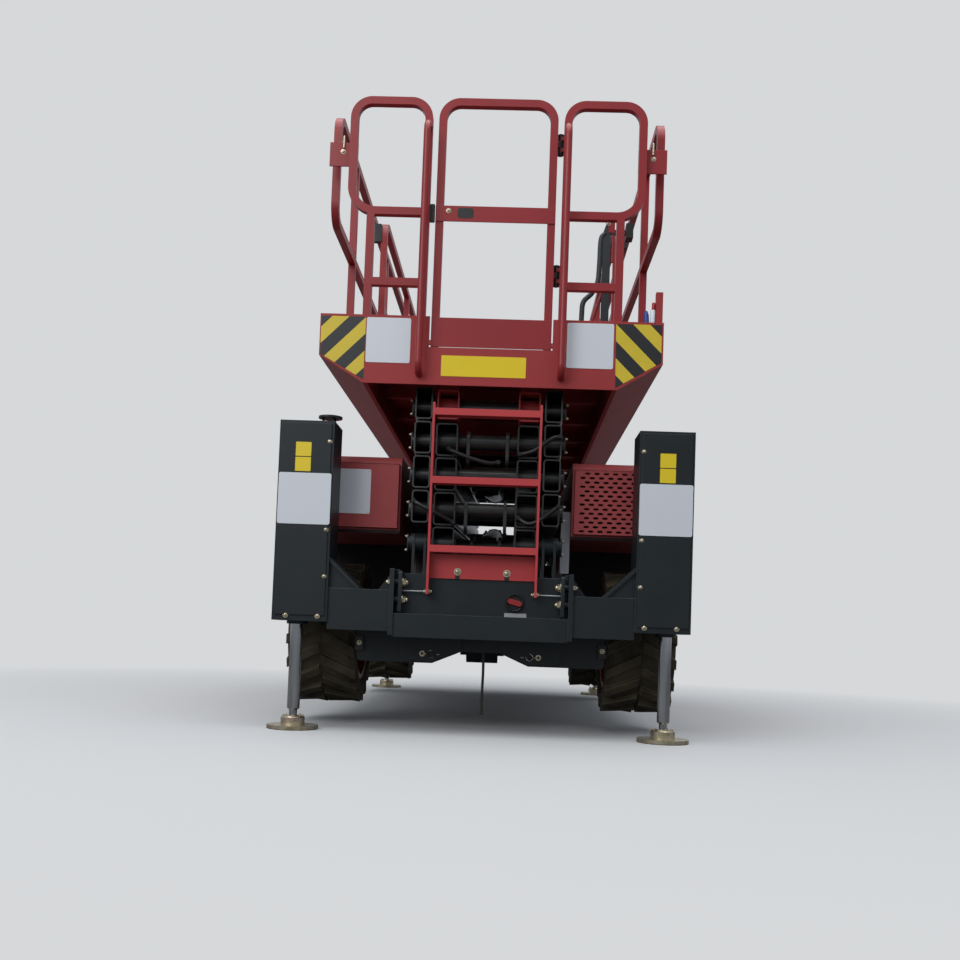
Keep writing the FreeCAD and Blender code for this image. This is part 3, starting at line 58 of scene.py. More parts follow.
# %% Camera
IMAGE = 960
EYE = Vector((0.1252, -6.6425, 0.4529))
YAW, PITCH, ROLL = (math.radians(angle) for angle in (1.619, 3.006, 2.107))
FOCAL_PIXELS = 1087.06
MIDDLE_ROW = 575
SENSOR = 36.0

level_right = Vector((math.cos(YAW), math.sin(YAW), 0))
forward = Vector((-math.sin(YAW) * math.cos(PITCH), math.cos(YAW) * math.cos(PITCH), math.sin(PITCH)))
level_up = level_right.cross(forward)
right = level_right * math.cos(ROLL) + level_up * math.sin(ROLL)
up = level_up * math.cos(ROLL) - level_right * math.sin(ROLL)

camera = bpy.data.objects.new("camera", bpy.data.cameras.new("camera"))
bpy.context.scene.collection.objects.link(camera)
turn = Matrix((right, up, -forward)).transposed().to_4x4()
camera.matrix_world = Matrix.Translation(EYE) @ turn
camera.data.sensor_width = SENSOR
camera.data.lens = FOCAL_PIXELS / IMAGE * SENSOR
camera.data.shift_y = (MIDDLE_ROW - IMAGE / 2) / IMAGE
bpy.context.scene.camera = camera
print("lens", round(camera.data.lens, 1), "mm, shift", round(camera.data.shift_y, 3))

# %% [markdown]
# ## The earth strap
# A narrow conductive strap hangs from the cross plate under the chassis and leads static
# charge to the ground. It is the only free cord here. It is a hanging curve through a few listed
# points, as a soft strap is nearly straight and bows a little.

# %% Earth strap
STRAP_WIDTH = 0.012
STRAP_POINTS = [(0.015, -1.708, 0.3597), (0.015, -1.708, 0.325), (0.016, -1.7075, 0.27),
                (0.0145, -1.7065, 0.2), (0.0135, -1.707, 0.13), (0.015, -1.708, 0.0785)]


def cord_object(name, points, width):
    """A round cord: a NURBS spline of order 3, whose radius is bevel 1 times half the width."""
    curve = bpy.data.curves.new(name, "CURVE")
    curve.dimensions = "3D"
    curve.bevel_depth = 1.0
    curve.use_fill_caps = True
    spline = curve.splines.new("NURBS")
    spline.points.add(len(points) - 1)
    spline.points.foreach_set("co", np.column_stack((points, np.ones(len(points)))).ravel())
    spline.points.foreach_set("radius", np.full(len(points), width / 2))
    spline.order_u = 3
    spline.use_endpoint_u = True
    made = bpy.data.objects.new(name, curve)
    bpy.context.scene.collection.objects.link(made)
    return made


strap = cord_object("earth_strap_cord", STRAP_POINTS, STRAP_WIDTH)
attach(strap, "root")
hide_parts("earth_strap")

# %% [markdown]
# ## Surfaces from grids
# Every new piece is a grid of points worked out with numpy. A stack of rings covers bolts,
# plates and caps: each ring is the same flat outline, scaled and lifted. A profile carried
# along a path covers hoses and tubes. One function turns either array into a mesh and gives it
# the body that it rides on and the finish of its look; the slot that the look names is not used.

# %% From points to a mesh
SMOOTH_ANGLE = math.radians(32)
MERGE_DISTANCE = 1e-6
STEEP = 0.9
UP, FRONT, BACK = (0, 0, 1), (0, -1, 0), (0, 1, 0)


def mesh_piece(name, points, body, look):
    """One mesh from points, copies x rows x columns x 3; look is a finish and its slot."""
    points = np.asarray(points, float)
    if points.ndim == 3:
        points = points[None]
    copies, rows, columns, _ = points.shape
    number = np.arange(copies * rows * columns).reshape(copies, rows, columns)
    across = np.roll(number, -1, axis=2)
    quads = np.stack([number[:, :-1], across[:, :-1], across[:, 1:], number[:, 1:]], axis=-1)
    data = bpy.data.meshes.new(name)
    data.from_pydata(points.reshape(-1, 3), [], quads.reshape(-1, 4))
    clean = bmesh.new()
    clean.from_mesh(data)
    bmesh.ops.remove_doubles(clean, verts=clean.verts, dist=MERGE_DISTANCE)
    bmesh.ops.recalc_face_normals(clean, faces=clean.faces)
    clean.to_mesh(data)
    clean.free()
    data.shade_smooth()
    data.set_sharp_from_angle(angle=SMOOTH_ANGLE)
    piece = bpy.data.objects.new(name, data)
    bpy.context.scene.collection.objects.link(piece)
    finish, slot = look
    data.materials.append(finish)
    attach(piece, body)
    return piece


def unit(vectors):
    """Each vector over its own length."""
    vectors = np.asarray(vectors, float)
    return vectors / np.linalg.norm(vectors, axis=-1, keepdims=True)


def rings(centres, outward, outlines, heights, upright=None):
    """Rings round each centre: outlines (rows x columns x 2) across outward, lifted by heights."""
    if upright is None:
        upright = BACK if abs(outward[2]) > STEEP else UP
    centres = np.atleast_2d(np.asarray(centres, float))
    outward = unit(np.broadcast_to(np.asarray(outward, float), centres.shape))
    side = unit(np.cross(upright, outward))
    rise = np.cross(outward, side)
    plane = (outlines[None, ..., :1] * side[:, None, None]
             + outlines[None, ..., 1:] * rise[:, None, None])
    lift = np.asarray(heights)[None, :, None, None] * outward[:, None, None]
    return centres[:, None, None] + plane + lift


print("a ring stack has copies x rows x columns points")

# %% [markdown]
# ## Bolts
# The bolts are zinc plated with a yellow passivated sheen: domed nuts on the chassis flanges,
# button heads on the covers and the ladder, and small ones round each jack's hub. A hexagon is
# a circle whose radius is the flat's distance over the cosine of the angle from that flat.

# %% Bolt heads
BOLT_SIDES = 24
NUT_WASHER, BUTTON_WASHER = 0.22, 0.16
NUT_RINGS = [(1.02, 0.24, 1), (1.0, 0.95, 1), (0.9, 1.08, 0), (0.74, 1.12, 0), (0.68, 1.5, 0),
             (0.45, 1.72, 0), (0.0, 1.8, 0)]
BUTTON_RINGS = [(1.0, 0.18, 0), (0.96, 0.42, 0), (0.7, 0.66, 0), (0.36, 0.74, 0), (0.34, 0.45, 0),
                (0.0, 0.45, 0)]


def hexagon(angles):
    """Radius of a hexagon of flat distance 1, at each angle."""
    return 1 / np.cos((angles + math.pi / 6) % (math.pi / 3) - math.pi / 6)


def bolt_heads(name, centres, outward, radius, body, look, nut=True, washer=1.5):
    """A washer and a nut or button at each centre; each ring has (size, height, 1 if six-sided)."""
    top, shape = (NUT_WASHER, NUT_RINGS) if nut else (BUTTON_WASHER, BUTTON_RINGS)
    size, lift, six_sided = np.array([(washer, 0.0, 0), (washer, top, 0)] + shape).T
    angles = np.linspace(0, 2 * math.pi, BOLT_SIDES, endpoint=False)
    radii = size[:, None] * np.where(six_sided[:, None] > 0, hexagon(angles), 1.0) * radius
    outlines = np.stack([radii * np.cos(angles), radii * np.sin(angles)], axis=-1)
    return mesh_piece(name, rings(centres, outward, outlines, lift * radius), body, look)


print("hexagon radius at a corner", round(float(hexagon(np.array([math.pi / 6]))[0]), 4))

# %% [markdown]
# ## Flat plates
# Stickers and rating plates are thin rounded rectangles. Only their place, size and colour
# follow the photo: all of them are blank here. The outline is four quarter circles, one at
# each corner, and the rings go from the back's middle over the edge to the front's middle.

# %% Plates
def rounded_outline(width, height, corner, steps=5):
    """Four quarter circles, their centres at the corners of the inner rectangle."""
    quarter = np.linspace(0, math.pi / 2, steps)
    angles = np.concatenate([quarter + turn * math.pi / 2 for turn in range(4)])
    signs = np.repeat(np.array([(1, 1), (-1, 1), (-1, -1), (1, -1)]), steps, axis=0)
    inner = signs * np.array([width / 2 - corner, height / 2 - corner])
    return inner + corner * np.stack([np.cos(angles), np.sin(angles)], axis=-1)


def flat_plate(name, centre, outward, size, body, look, thickness=0.0012, corner=0.006,
               upright=None):
    """A thin plate: middle and outline at height 0, then outline and middle at its thickness."""
    outline = rounded_outline(size[0], size[1], corner)
    outlines = np.stack([outline * 0, outline, outline, outline * 0])
    heights = [0, 0, thickness, thickness]
    return mesh_piece(name, rings(centre, outward, outlines, heights, upright), body, look)


print("plate outline", rounded_outline(0.2, 0.1, 0.006).shape)

# %% [markdown]
# ## Hoses and bent bars
# A hose follows a smooth line through a few points. At each point its round section stands
# across the line's direction, found from the difference between its neighbours.

# %% Hoses
HOSE_SIDES = 12


def smooth_line(points, steps=14):
    """Catmull-Rom: each span blends its own two points with the one before and the one after."""
    points = np.asarray(points, float)
    padded = np.vstack([2 * points[0] - points[1], points, 2 * points[-1] - points[-2]])
    t = np.linspace(0, 1, steps, endpoint=False)[:, None, None]
    before, start, stop, after = padded[:-3], padded[1:-2], padded[2:-1], padded[3:]
    spans = 0.5 * (2 * start + (stop - before) * t
                   + (2 * before - 5 * start + 4 * stop - after) * t ** 2
                   + (3 * start - before - 3 * stop + after) * t ** 3)
    return np.vstack([spans.transpose(1, 0, 2).reshape(-1, 3), points[-1:]])


def hose(name, points, radius, body, look, upright=UP):
    """A ring carried along the smooth line, its ends closed by rings of radius nought."""
    line = smooth_line(points)
    along = unit(np.gradient(line, axis=0))
    side = unit(np.cross(along, upright))
    rise = np.cross(side, along)
    angles = np.linspace(0, 2 * math.pi, HOSE_SIDES, endpoint=False)[None, :, None]
    ring = np.cos(angles) * side[:, None] + np.sin(angles) * rise[:, None]
    first, last = (np.repeat(line[None, [end]], HOSE_SIDES, axis=1) for end in (0, -1))
    surface = np.concatenate([first, line[:, None] + ring * radius, last])
    return mesh_piece(name, surface, body, look)


print("line points", smooth_line([(0, 0, 0), (0, 0, 1), (0, 1, 1)]).shape[0])

# %% [markdown]
# ## Shader maths in plain expressions
# A material is a graph of nodes. A small class wraps one output socket, so that adding or
# multiplying two of them adds the Math node that does it. Every other node comes from one
# method, which sets the node's settings first and then fills or links its sockets.

# %% A socket that does arithmetic
class Flow:
    """One output socket of a material's graph, or a start with none yet."""

    def __init__(self, tree, socket=None):
        self.tree = tree
        self.socket = socket

    def node(self, kind, settings=None, sockets=None, out=0):
        """Add a node: its settings, then the values or links of its sockets; gives one output."""
        made = self.tree.nodes.new(kind)
        for key, value in (settings or {}).items():
            if key == "stops":
                ramp = made.color_ramp.elements
                while len(ramp) < len(value):
                    ramp.new(1.0)
                for stop, (place, colour) in zip(ramp, value):
                    stop.position = place
                    stop.color = (*colour, 1)
            else:
                setattr(made, key, value)
        for key, value in (sockets or {}).items():
            if isinstance(value, Flow):
                self.tree.links.new(value.socket, made.inputs[key])
            elif isinstance(value, tuple) and len(value) == 3 and made.inputs[key].type == "RGBA":
                made.inputs[key].default_value = (*value, 1)
            else:
                made.inputs[key].default_value = value
        return Flow(self.tree, made.outputs[out] if made.outputs else None)

    def math(self, operation, *others, clamp=False):
        """A Math node with this and the others as its values."""
        values = dict(enumerate((self, *others)))
        return self.node("ShaderNodeMath", {"operation": operation, "use_clamp": clamp}, values)

    def __add__(self, other):
        return self.math("ADD", other)

    __radd__ = __add__

    def __sub__(self, other):
        return self.math("SUBTRACT", other)

    def __rsub__(self, other):
        return (self * -1) + other

    def __mul__(self, other):
        return self.math("MULTIPLY", other)

    __rmul__ = __mul__

    def __truediv__(self, other):
        return self.math("DIVIDE", other)

    def __rtruediv__(self, other):
        return self.math("POWER", -1.0) * other

    def above(self, edge, soft=0.05):
        """0 below the edge and 1 above it, over a soft step."""
        return ((self - edge) / soft + 0.5).math("MAXIMUM", 0.0, clamp=True)

    def mix(self, low, high):
        """Colour low where this is 0 and high where it is 1."""
        return self.node("ShaderNodeMix", {"data_type": "RGBA"}, {0: self, 6: low, 7: high}, out=2)


def srgb(red, green, blue):
    """A colour picked on screen, 0 to 255, as the linear light that the shader needs."""
    values = np.array([red, green, blue]) / 255
    linear = np.where(values <= 0.04045, values / 12.92, ((values + 0.055) / 1.055) ** 2.4)
    return tuple(float(value) for value in linear)


print("dark red", tuple(round(value, 3) for value in srgb(140, 20, 28)))

# %% [markdown]
# ## Noise, dust and edges
# Real paint differs a little from place to place: broad cloudy tones, fine dust that settles
# on faces that look up, and corners where the coat is thin. The patterns read Object
# coordinates, so they move with the part. The Bevel node gives rounded normals, and where they
# differ from the flat ones there is an edge.

# %% Shared patterns
def start_material(name):
    """A material, the start of its graph, and Object coordinates, which move with the piece."""
    material = bpy.data.materials.new(name)
    material.use_nodes = True
    material.node_tree.nodes.clear()
    start = Flow(material.node_tree)
    return material, start, start.node("ShaderNodeTexCoord", out="Object")


def noise(place, scale, detail=3.0, rough=0.55, stretch=(1, 1, 1)):
    """Cloudy values about 0.5, with the pattern stretched along an axis if asked."""
    turned = place.node("ShaderNodeMapping", None, {"Vector": place, "Scale": stretch})
    return place.node("ShaderNodeTexNoise", None,
                      {"Vector": turned, "Scale": scale, "Detail": detail, "Roughness": rough})


def part_of(vector, axis):
    """One of a vector's three numbers."""
    return vector.node("ShaderNodeSeparateXYZ", None, {0: vector}, out=axis)


def soft_edges(start, radius):
    """Rounded normals, and how far they turn from the flat ones: 0 on a face, up to 1 on an edge."""
    rounded = start.node("ShaderNodeBevel", {"samples": 4}, {"Radius": radius})
    flat = start.node("ShaderNodeNewGeometry", out="True Normal")
    same = start.node("ShaderNodeVectorMath", {"operation": "DOT_PRODUCT"}, {0: rounded, 1: flat},
                      out="Value")
    return rounded, (1 - same).math("MULTIPLY", 6.0, clamp=True)


def finish_surface(start, material, colour, roughness, height=None, strength=0.1, distance=0.002,
                   normal=None, **uniform):
    """The shader itself: what varies goes in by socket, and what is uniform is set on it."""
    sockets = {"Base Color": colour, "Roughness": roughness}
    sockets.update({key.replace("_", " "): value for key, value in uniform.items()})
    if height is not None:
        bump = {"Height": height, "Strength": strength, "Distance": distance}
        if normal is not None:
            bump["Normal"] = normal
        normal = start.node("ShaderNodeBump", None, bump)
    if normal is not None:
        sockets["Normal"] = normal
    shader = start.node("ShaderNodeBsdfPrincipled", None, sockets)
    start.node("ShaderNodeOutputMaterial", None, {"Surface": shader})
    return material


print("pattern helpers ready")

# %% [markdown]
# ## Paint
# The guard rails and rims are a dark red with some gloss, and the platform, hoods and ladder are
# paler and duller; the ladder's red is lightened further as painted light, against the shade that
# it stands in. The chassis, outriggers and jack boxes are satin anthracite and the arms are black.
# The hoods' lower fronts are near black below the wheel arches' top: painted shade, for the deep
# shade under the hoods. One function makes all of them, with the clear coat, the cloudy tone, the
# dust, the edge tone and the painted shade as values. Very fine orange peel gives the reflections
# their waver.

# %% Paint finishes
RED = srgb(139, 36, 40)
ANTHRACITE = srgb(25, 33, 37)
BLACK = srgb(22, 25, 26)
DUST = srgb(150, 140, 124)
DARK_DIRT = srgb(84, 74, 60)
# Near black laid as painted shade on the hoods' lower fronts, below the arch top.
PAINTED_SHADE_BLACK = srgb(22, 9, 9)
HOOD_RED = srgb(160, 70, 72)
ARCH_TOP = 0.906


def paint(name, colour, roughness, coat=0.1, tone=0.1, dust=0.05, edge=0.2, edge_width=0.0015,
          edge_colour=None, shine=0.3, painted_shade_below=None):
    """Cloudy tone, dust on faces that look up, worn edges, and painted shade low on the fronts."""
    material, start, place = start_material(name)
    facing = start.node("ShaderNodeTexCoord", out="Normal")
    cloudy = noise(place, 2.3, 4.0)
    speckled = noise(place, 55.0, 2.0)
    rounded, rim = soft_edges(start, edge_width)
    dark = tuple(value * (1 - tone) for value in colour)
    light = tuple(min(1.0, value * (1 + tone)) for value in colour)
    base = cloudy.above(0.5, 0.5).mix(dark, light)
    looks_up = part_of(facing, "Z").above(0.55, 0.5)
    settled = (looks_up * 0.75 + 0.25) * noise(place, 9.0, 5.0).above(0.5, 0.45) * dust
    dusty = settled.mix(base, DUST)
    worn = rim * noise(place, 28.0, 3.0).above(0.45, 0.3) * edge
    whole = worn.mix(dusty, edge_colour or tuple(min(1.0, value * 2.2 + 0.02) for value in colour))
    # Painted shade: near black on faces that look along Y, below the given height.
    if painted_shade_below is not None:
        across = part_of(facing, "Y")
        low = 1 - part_of(place, "Z").above(painted_shade_below, 0.002)
        whole = (low * (across * across).above(0.5, 0.2)).mix(whole, PAINTED_SHADE_BLACK)
    rough = speckled * 0.08 + settled * 0.5 + (roughness - 0.04)
    return finish_surface(start, material, whole, rough, height=speckled, strength=0.04,
                          distance=0.001, normal=rounded, Coat_Weight=coat, Coat_Roughness=0.12,
                          Specular_IOR_Level=shine)


red_paint = paint("red_gloss_paint", RED, 0.4, coat=0.12, dust=0.02, shine=0.35)
deck_paint = paint("red_deck_paint", srgb(150, 52, 53), 0.5, coat=0.0, shine=0.25)
# The ladder's red is lightened as painted light, to offset the shade that the ladder stands in.
ladder_paint = paint("red_ladder_paint", srgb(184, 62, 65), 0.42, tone=0.08)
hood_red = paint("red_hood_paint", HOOD_RED, 0.48, coat=0.0, tone=0.12, shine=0.25)
# The hoods get painted shade on their lower fronts, below the arch top.
hood_paint = paint("hood_paint", HOOD_RED, 0.48, coat=0.0, tone=0.12, shine=0.25, painted_shade_below=ARCH_TOP)
dark_paint = paint("anthracite_satin_paint", ANTHRACITE, 0.42, coat=0.05, tone=0.14, edge=0.7,
                   edge_width=0.003, edge_colour=srgb(84, 90, 94))
arm_paint = paint("black_arm_paint", BLACK, 0.38, coat=0.3, tone=0.2, dust=0.12, edge=0.6,
                  edge_width=0.002, edge_colour=srgb(96, 100, 102), shine=0.5)
box_paint = paint("control_grey_paint", srgb(48, 54, 57), 0.45, tone=0.18, dust=0.08, edge=0.1)
print("paints", red_paint.name, dark_paint.name, arm_paint.name)

# %% [markdown]
# ## Metal, rubber and plastic
# Jack rods are hard chrome with fine turning lines, the feet are zinc with a yellow passivated
# film, which shifts from gold to pink, and the tyres are brown with dried mud.

# %% Other finishes
ZINC_TINTS = [(0.3, srgb(168, 156, 124)), (0.5, srgb(204, 196, 170)), (0.62, srgb(186, 164, 148)),
              (0.75, srgb(216, 212, 196))]


def turning_lines(place):
    """Fine lines round an upright rod: noise that is sixty times finer along Z."""
    return noise(place, 14.0, 3.0, stretch=(1, 1, 60))


def zinc_film(start, place, scale):
    """The film's noise, the dirt on it, and the colour that they make along the tints."""
    film = noise(place, scale, 3.0)
    tint = start.node("ShaderNodeValToRGB", {"stops": ZINC_TINTS}, {0: film})
    dirt = noise(place, 60.0, 2.0).above(0.62, 0.2) * 0.5
    return film, dirt, dirt.mix(tint, DARK_DIRT)


def chrome(name):
    """Polished metal with turning lines and a cloudy tone."""
    material, start, place = start_material(name)
    lines = turning_lines(place)
    film = noise(place, 7.0, 4.0)
    tone = film.mix(srgb(150, 153, 156), srgb(186, 188, 188))
    rough = lines * 0.12 + 0.08
    return finish_surface(start, material, tone, rough, height=lines, strength=0.04, Metallic=1.0)


def yellow_zinc(name, scale):
    """Zinc under its passivated film, duller where dirt sits."""
    material, start, place = start_material(name)
    film, dirt, tone = zinc_film(start, place, scale)
    return finish_surface(start, material, tone, dirt * 0.4 + 0.3, height=film, strength=0.05,
                          Metallic=0.85)


def tyre_rubber(name):
    """Brown mud over dark rubber, paler along the lugs' edges as wear and a painted highlight."""
    material, start, place = start_material(name)
    mud = noise(place, 6.0, 6.0, 0.62).above(0.48, 0.4)
    grain = noise(place, 160.0, 3.0, 0.7)
    rounded, rim = soft_edges(start, 0.007)
    # The pale tan on the lugs' edges is partly wear and partly a painted highlight.
    base = (rim * 0.75).mix(mud.mix(srgb(32, 30, 25), srgb(82, 74, 58)), srgb(112, 104, 86))
    return finish_surface(start, material, base, grain * 0.15 + 0.74, height=grain * 0.5 + mud,
                          strength=0.35, distance=0.002, normal=rounded, Specular_IOR_Level=0.3)


def plain_plastic(name, colour, roughness=0.5, tone=0.15):
    """One colour with a slight cloudy tone and a fine skin."""
    material, start, place = start_material(name)
    cloudy = noise(place, 12.0, 4.0)
    skin = noise(place, 220.0, 2.0)
    dark = tuple(value * (1 - tone) for value in colour)
    return finish_surface(start, material, cloudy.mix(dark, colour), skin * 0.1 + (roughness - 0.05),
                          height=skin, strength=0.08, distance=0.0005)


rod_chrome = chrome("hard_chrome")
bolt_zinc = yellow_zinc("bolt_zinc", 90.0)
rubber = tyre_rubber("dusty_tyre_rubber")
hose_rubber = plain_plastic("hose_rubber", srgb(22, 22, 23), 0.42)
strap_rubber = plain_plastic("strap_rubber", srgb(44, 42, 37), 0.7)
black_plastic = plain_plastic("black_plastic", srgb(20, 20, 21), 0.45)
white_vinyl = plain_plastic("white_vinyl", srgb(208, 213, 220), 0.4, tone=0.03)
yellow_vinyl = plain_plastic("yellow_vinyl", srgb(226, 200, 28), 0.3, tone=0.06)
cast_iron = plain_plastic("cast_engine_block", srgb(78, 80, 82), 0.6)
red_plastic = plain_plastic("red_plastic", srgb(150, 30, 34), 0.4)
blue_plastic = plain_plastic("blue_plastic", srgb(28, 62, 140), 0.4)
bare_steel = plain_plastic("brushed_steel_plate", srgb(168, 170, 172), 0.45)
print("finishes", len(bpy.data.materials))

# %% [markdown]
# ## Dressing the CAD nodes
# Each CAD node keeps its shape and only gets a finish, chosen by the first words of its name.
# A jack leg is one turned solid, but its rod is chrome and its foot zinc, so those two finishes
# meet inside one material at the height where the neck begins.

# %% A finish for every node
NECK_HEIGHT = 0.058


def leg_finish():
    """Chrome above the neck and zinc below it, mixed by height."""
    material, start, place = start_material("jack_leg_finish")
    is_rod = part_of(place, "Z").above(NECK_HEIGHT, 0.001)
    lines = turning_lines(place)
    film, dirt, plate = zinc_film(start, place, 18.0)
    # Painted reflection: light and dark streaks up the rod's colour stand for the reflections of its
    # surroundings.
    painted_reflection_streaks = noise(place, 60.0, 2.0, stretch=(1, 1, 0.03)).above(0.5, 0.5)
    tone = is_rod.mix(plate, painted_reflection_streaks.mix(srgb(138, 141, 146), srgb(194, 196, 198)))
    rough = is_rod * (lines * 0.06 - 0.22) + (dirt * 0.4 * (1 - is_rod) + 0.32)
    return finish_surface(start, material, tone, rough, height=film * (1 - is_rod), strength=0.04,
                          Metallic=0.95)


jack_leg = leg_finish()
FINISHES = [(dark_paint, "chassis outrigger axle knuckle"), (jack_leg, "jack_leg"), (rubber, "tyre"),
            (red_paint, "rim front_rails side_rail grab gate roll_out"), (hood_paint, "hood"),
            (hood_red, "engine_grille"), (cast_iron, "engine_block"), (ladder_paint, "ladder"),
            (arm_paint, "arm cylinder_barrel"), (rod_chrome, "cylinder_rod"), (deck_paint, "platform"),
            (box_paint, "control"), (black_plastic, "battery"), (strap_rubber, "earth")]
DARK, GREY = (dark_paint, "anthracite_paint"), (box_paint, "control_plastic")
ZINC, STEEL = (bolt_zinc, "chrome_rod"), (bare_steel, "chrome_rod")
RAIL, DOOR_RED = (red_paint, "red_paint"), (hood_red, "red_paint")
MATT = (black_plastic, "isolator_plastic")

for node_name, node_object in NODES.items():
    finish = next(made for made, words in FINISHES if node_name.startswith(tuple(words.split())))
    node_object.data.materials.clear()
    node_object.data.materials.append(finish)
strap.data.materials.append(strap_rubber)
print("finished nodes", len(NODES))

# %% [markdown]
# ## Turned pieces and thin sheets
# Sleeves, rings, knobs and sockets are turned: a profile of radii and heights goes once round
# an axis. Stickers with slanted sides follow the edge of the panel that carries them, so they
# are sheets cut to any outline instead of rounded rectangles.

# %% Turned pieces and cut sheets
SIDES = ((-1, "left"), (1, "right"))
ENDS = ((-1, "near"), (1, "far"))


def drum(radius, low, high):
    """The profile of a plain cylinder between two heights."""
    return [(0, low), (radius, low), (radius, high), (0, high)]


def turned_piece(name, centres, outward, profile, body, look, sides=24):
    """Each row of the profile is a circle of radius r, lifted by h along the axis."""
    angles = np.linspace(0, 2 * math.pi, sides, endpoint=False)
    circle = np.stack([np.cos(angles), np.sin(angles)], axis=-1)
    profile = np.asarray(profile, float)
    outlines = profile[:, :1, None] * circle[None]
    return mesh_piece(name, rings(centres, outward, outlines, profile[:, 1]), body, look)


def cut_sheet(name, corners, y, body, look, thickness=0.0012):
    """A flat outline in x and z, filled from its middle: back middle, back, front, front middle."""
    corners = np.asarray(corners, float)
    middle = corners.mean(axis=0) + corners * 0
    outlines = np.stack([middle, corners, corners, middle])
    depth = np.array([0, 0, -thickness, -thickness]) + y
    points = np.stack([outlines[..., 0], np.broadcast_to(depth[:, None], outlines.shape[:2]),
                       outlines[..., 1]], axis=-1)
    return mesh_piece(name, points, body, look)


def mirror_pair(points):
    """The same points again on the other side of the machine."""
    points = np.atleast_2d(np.asarray(points, float))
    return np.vstack([points, points * (-1, 1, 1)])


print("pairs", mirror_pair((1, 2, 3)).tolist())

# %% [markdown]
# ## Hazard stripes and blank signs
# Both ends of the front panel have yellow and black bands that lean outwards, like an A. The
# bands are painted by the material: height plus or minus the distance across, divided by the
# bands' period, has a fraction that is under a half on yellow and over it on black. The signs
# beside them and on the jack boxes are blank sheets in the colours of the real ones.

# %% Stripes and signs
BAND_PERIOD = 0.1512
FASCIA_Y = -1.870
BOX_Y = -1.960
DOOR_Y = -1.680
RATING_PLATE = (-0.6105, DOOR_Y, 1.080)
BANDS = [("left", -1.0, 2.1725, [(-0.760, 1.840), (-0.760, 1.668), (-0.562, 1.557), (-0.560, 1.840)]),
         ("right", 1.0, 2.167, [(0.757, 1.840), (0.757, 1.671), (0.5575, 1.5525), (0.554, 1.840)])]


def striped_vinyl(name, lean, first):
    """Yellow where the fraction of (z + lean x - first) / period is under a half, black above it."""
    material, start, place = start_material(name)
    along = part_of(place, "Z") + part_of(place, "X") * lean
    fraction = ((along - first) / BAND_PERIOD).math("FRACT")
    worn = noise(place, 14.0, 4.0)
    yellow = worn.mix(srgb(196, 172, 34), srgb(214, 190, 48))
    black = worn.mix(srgb(18, 20, 23), srgb(26, 28, 32))
    return finish_surface(start, material, fraction.above(0.5, 0.004).mix(yellow, black),
                          worn * 0.1 + 0.4, height=worn, strength=0.05, distance=0.0005)


for label, lean, first, corners in BANDS:
    cut_sheet(f"hazard_{label}", corners, FASCIA_Y, "platform",
              (striped_vinyl(f"hazard_vinyl_{label}", lean, first), "control_plastic"))

SIGNS = [("fascia_sign_left", (-0.457, FASCIA_Y, 1.7375), (0.198, 0.203), "platform", white_vinyl),
         ("fascia_sign_right", (0.4415, FASCIA_Y, 1.7375), (0.207, 0.203), "platform", white_vinyl),
         ("fascia_sign_middle", (-0.0285, FASCIA_Y, 1.6295), (0.377, 0.093), "platform", yellow_vinyl),
         ("box_sign_left", (-0.784, BOX_Y, 1.006), (0.230, 0.224), "root", white_vinyl),
         ("box_sign_right", (0.784, BOX_Y, 1.006), (0.230, 0.224), "root", white_vinyl),
         ("box_label_left", (-0.796, BOX_Y, 1.222), (0.068, 0.062), "root", yellow_vinyl),
         ("box_label_left_low", (-0.796, BOX_Y, 1.156), (0.068, 0.062), "root", yellow_vinyl),
         ("box_label_right", (0.788, BOX_Y, 1.221), (0.068, 0.062), "root", yellow_vinyl),
         ("box_label_right_low", (0.788, BOX_Y, 1.155), (0.068, 0.062), "root", yellow_vinyl),
         ("rating_plate", RATING_PLATE, (0.155, 0.206), "root", white_vinyl),
         ("isolator_plate", (0.151, -1.880, 0.531), (0.096, 0.018), "root", bare_steel)]
for name, centre, size, body, finish in SIGNS:
    flat_plate(name, centre, FRONT, size, body, (finish, "control_plastic"), corner=min(size) * 0.04)
print("signs", len(SIGNS))

# %% [markdown]
# ## Chassis ears and ladder notches
# Plates stand out past the chassis ends, just inside the outriggers' flanges, and carry the
# flange bolts on round spacers. The ladder's lower plate has an open notch under each of its
# bolts on the real machine. Here a thin dark plate is laid over each place as painted shade for
# the opening, and nothing is cut.

# %% Ears and notches
LADDER_PLATE_Y = -1.888
EAR_X, EAR_Y, EAR_Z = 0.345, 1.912, 0.6145
SPACER_X = 0.3595
EAR_BOLT_Y = 1.907
EAR_BOLT_HEIGHTS = (0.657, 0.581)

for side, label in SIDES:
    for row, end in ENDS:
        flat_plate(f"ear_{end}_{label}", (side * EAR_X, row * EAR_Y, EAR_Z), (side, 0, 0),
                   (0.066, 0.181), "root", DARK, thickness=0.015, corner=0.010)
        spots = [(side * SPACER_X, row * EAR_BOLT_Y, z) for z in EAR_BOLT_HEIGHTS]
        turned_piece(f"spacers_{end}_{label}", spots, (side, 0, 0), drum(0.015, 0, 0.019), "root", DARK)
# Painted shade: a thin dark plate stands for each notch's opening.
flat_plate("ladder_notch_shade", mirror_pair((0.108, LADDER_PLATE_Y, 0.6965)), FRONT, (0.020, 0.033),
           "root", DARK, thickness=0.0006, corner=0.003)
print("ears", len(SIDES) * len(ENDS))

# %% [markdown]
# ## The hood doors
# Both hoods have a shallow door in front. The right one, before the engine, is pierced with
# rows of six-sided slots, every other row half a pitch aside. A door is laid with tiles. Each
# tile's eight outer points match its neighbours', and eight inner points draw the slot or, on
# a plain tile, meet in the middle. So the slots are real openings with walls.

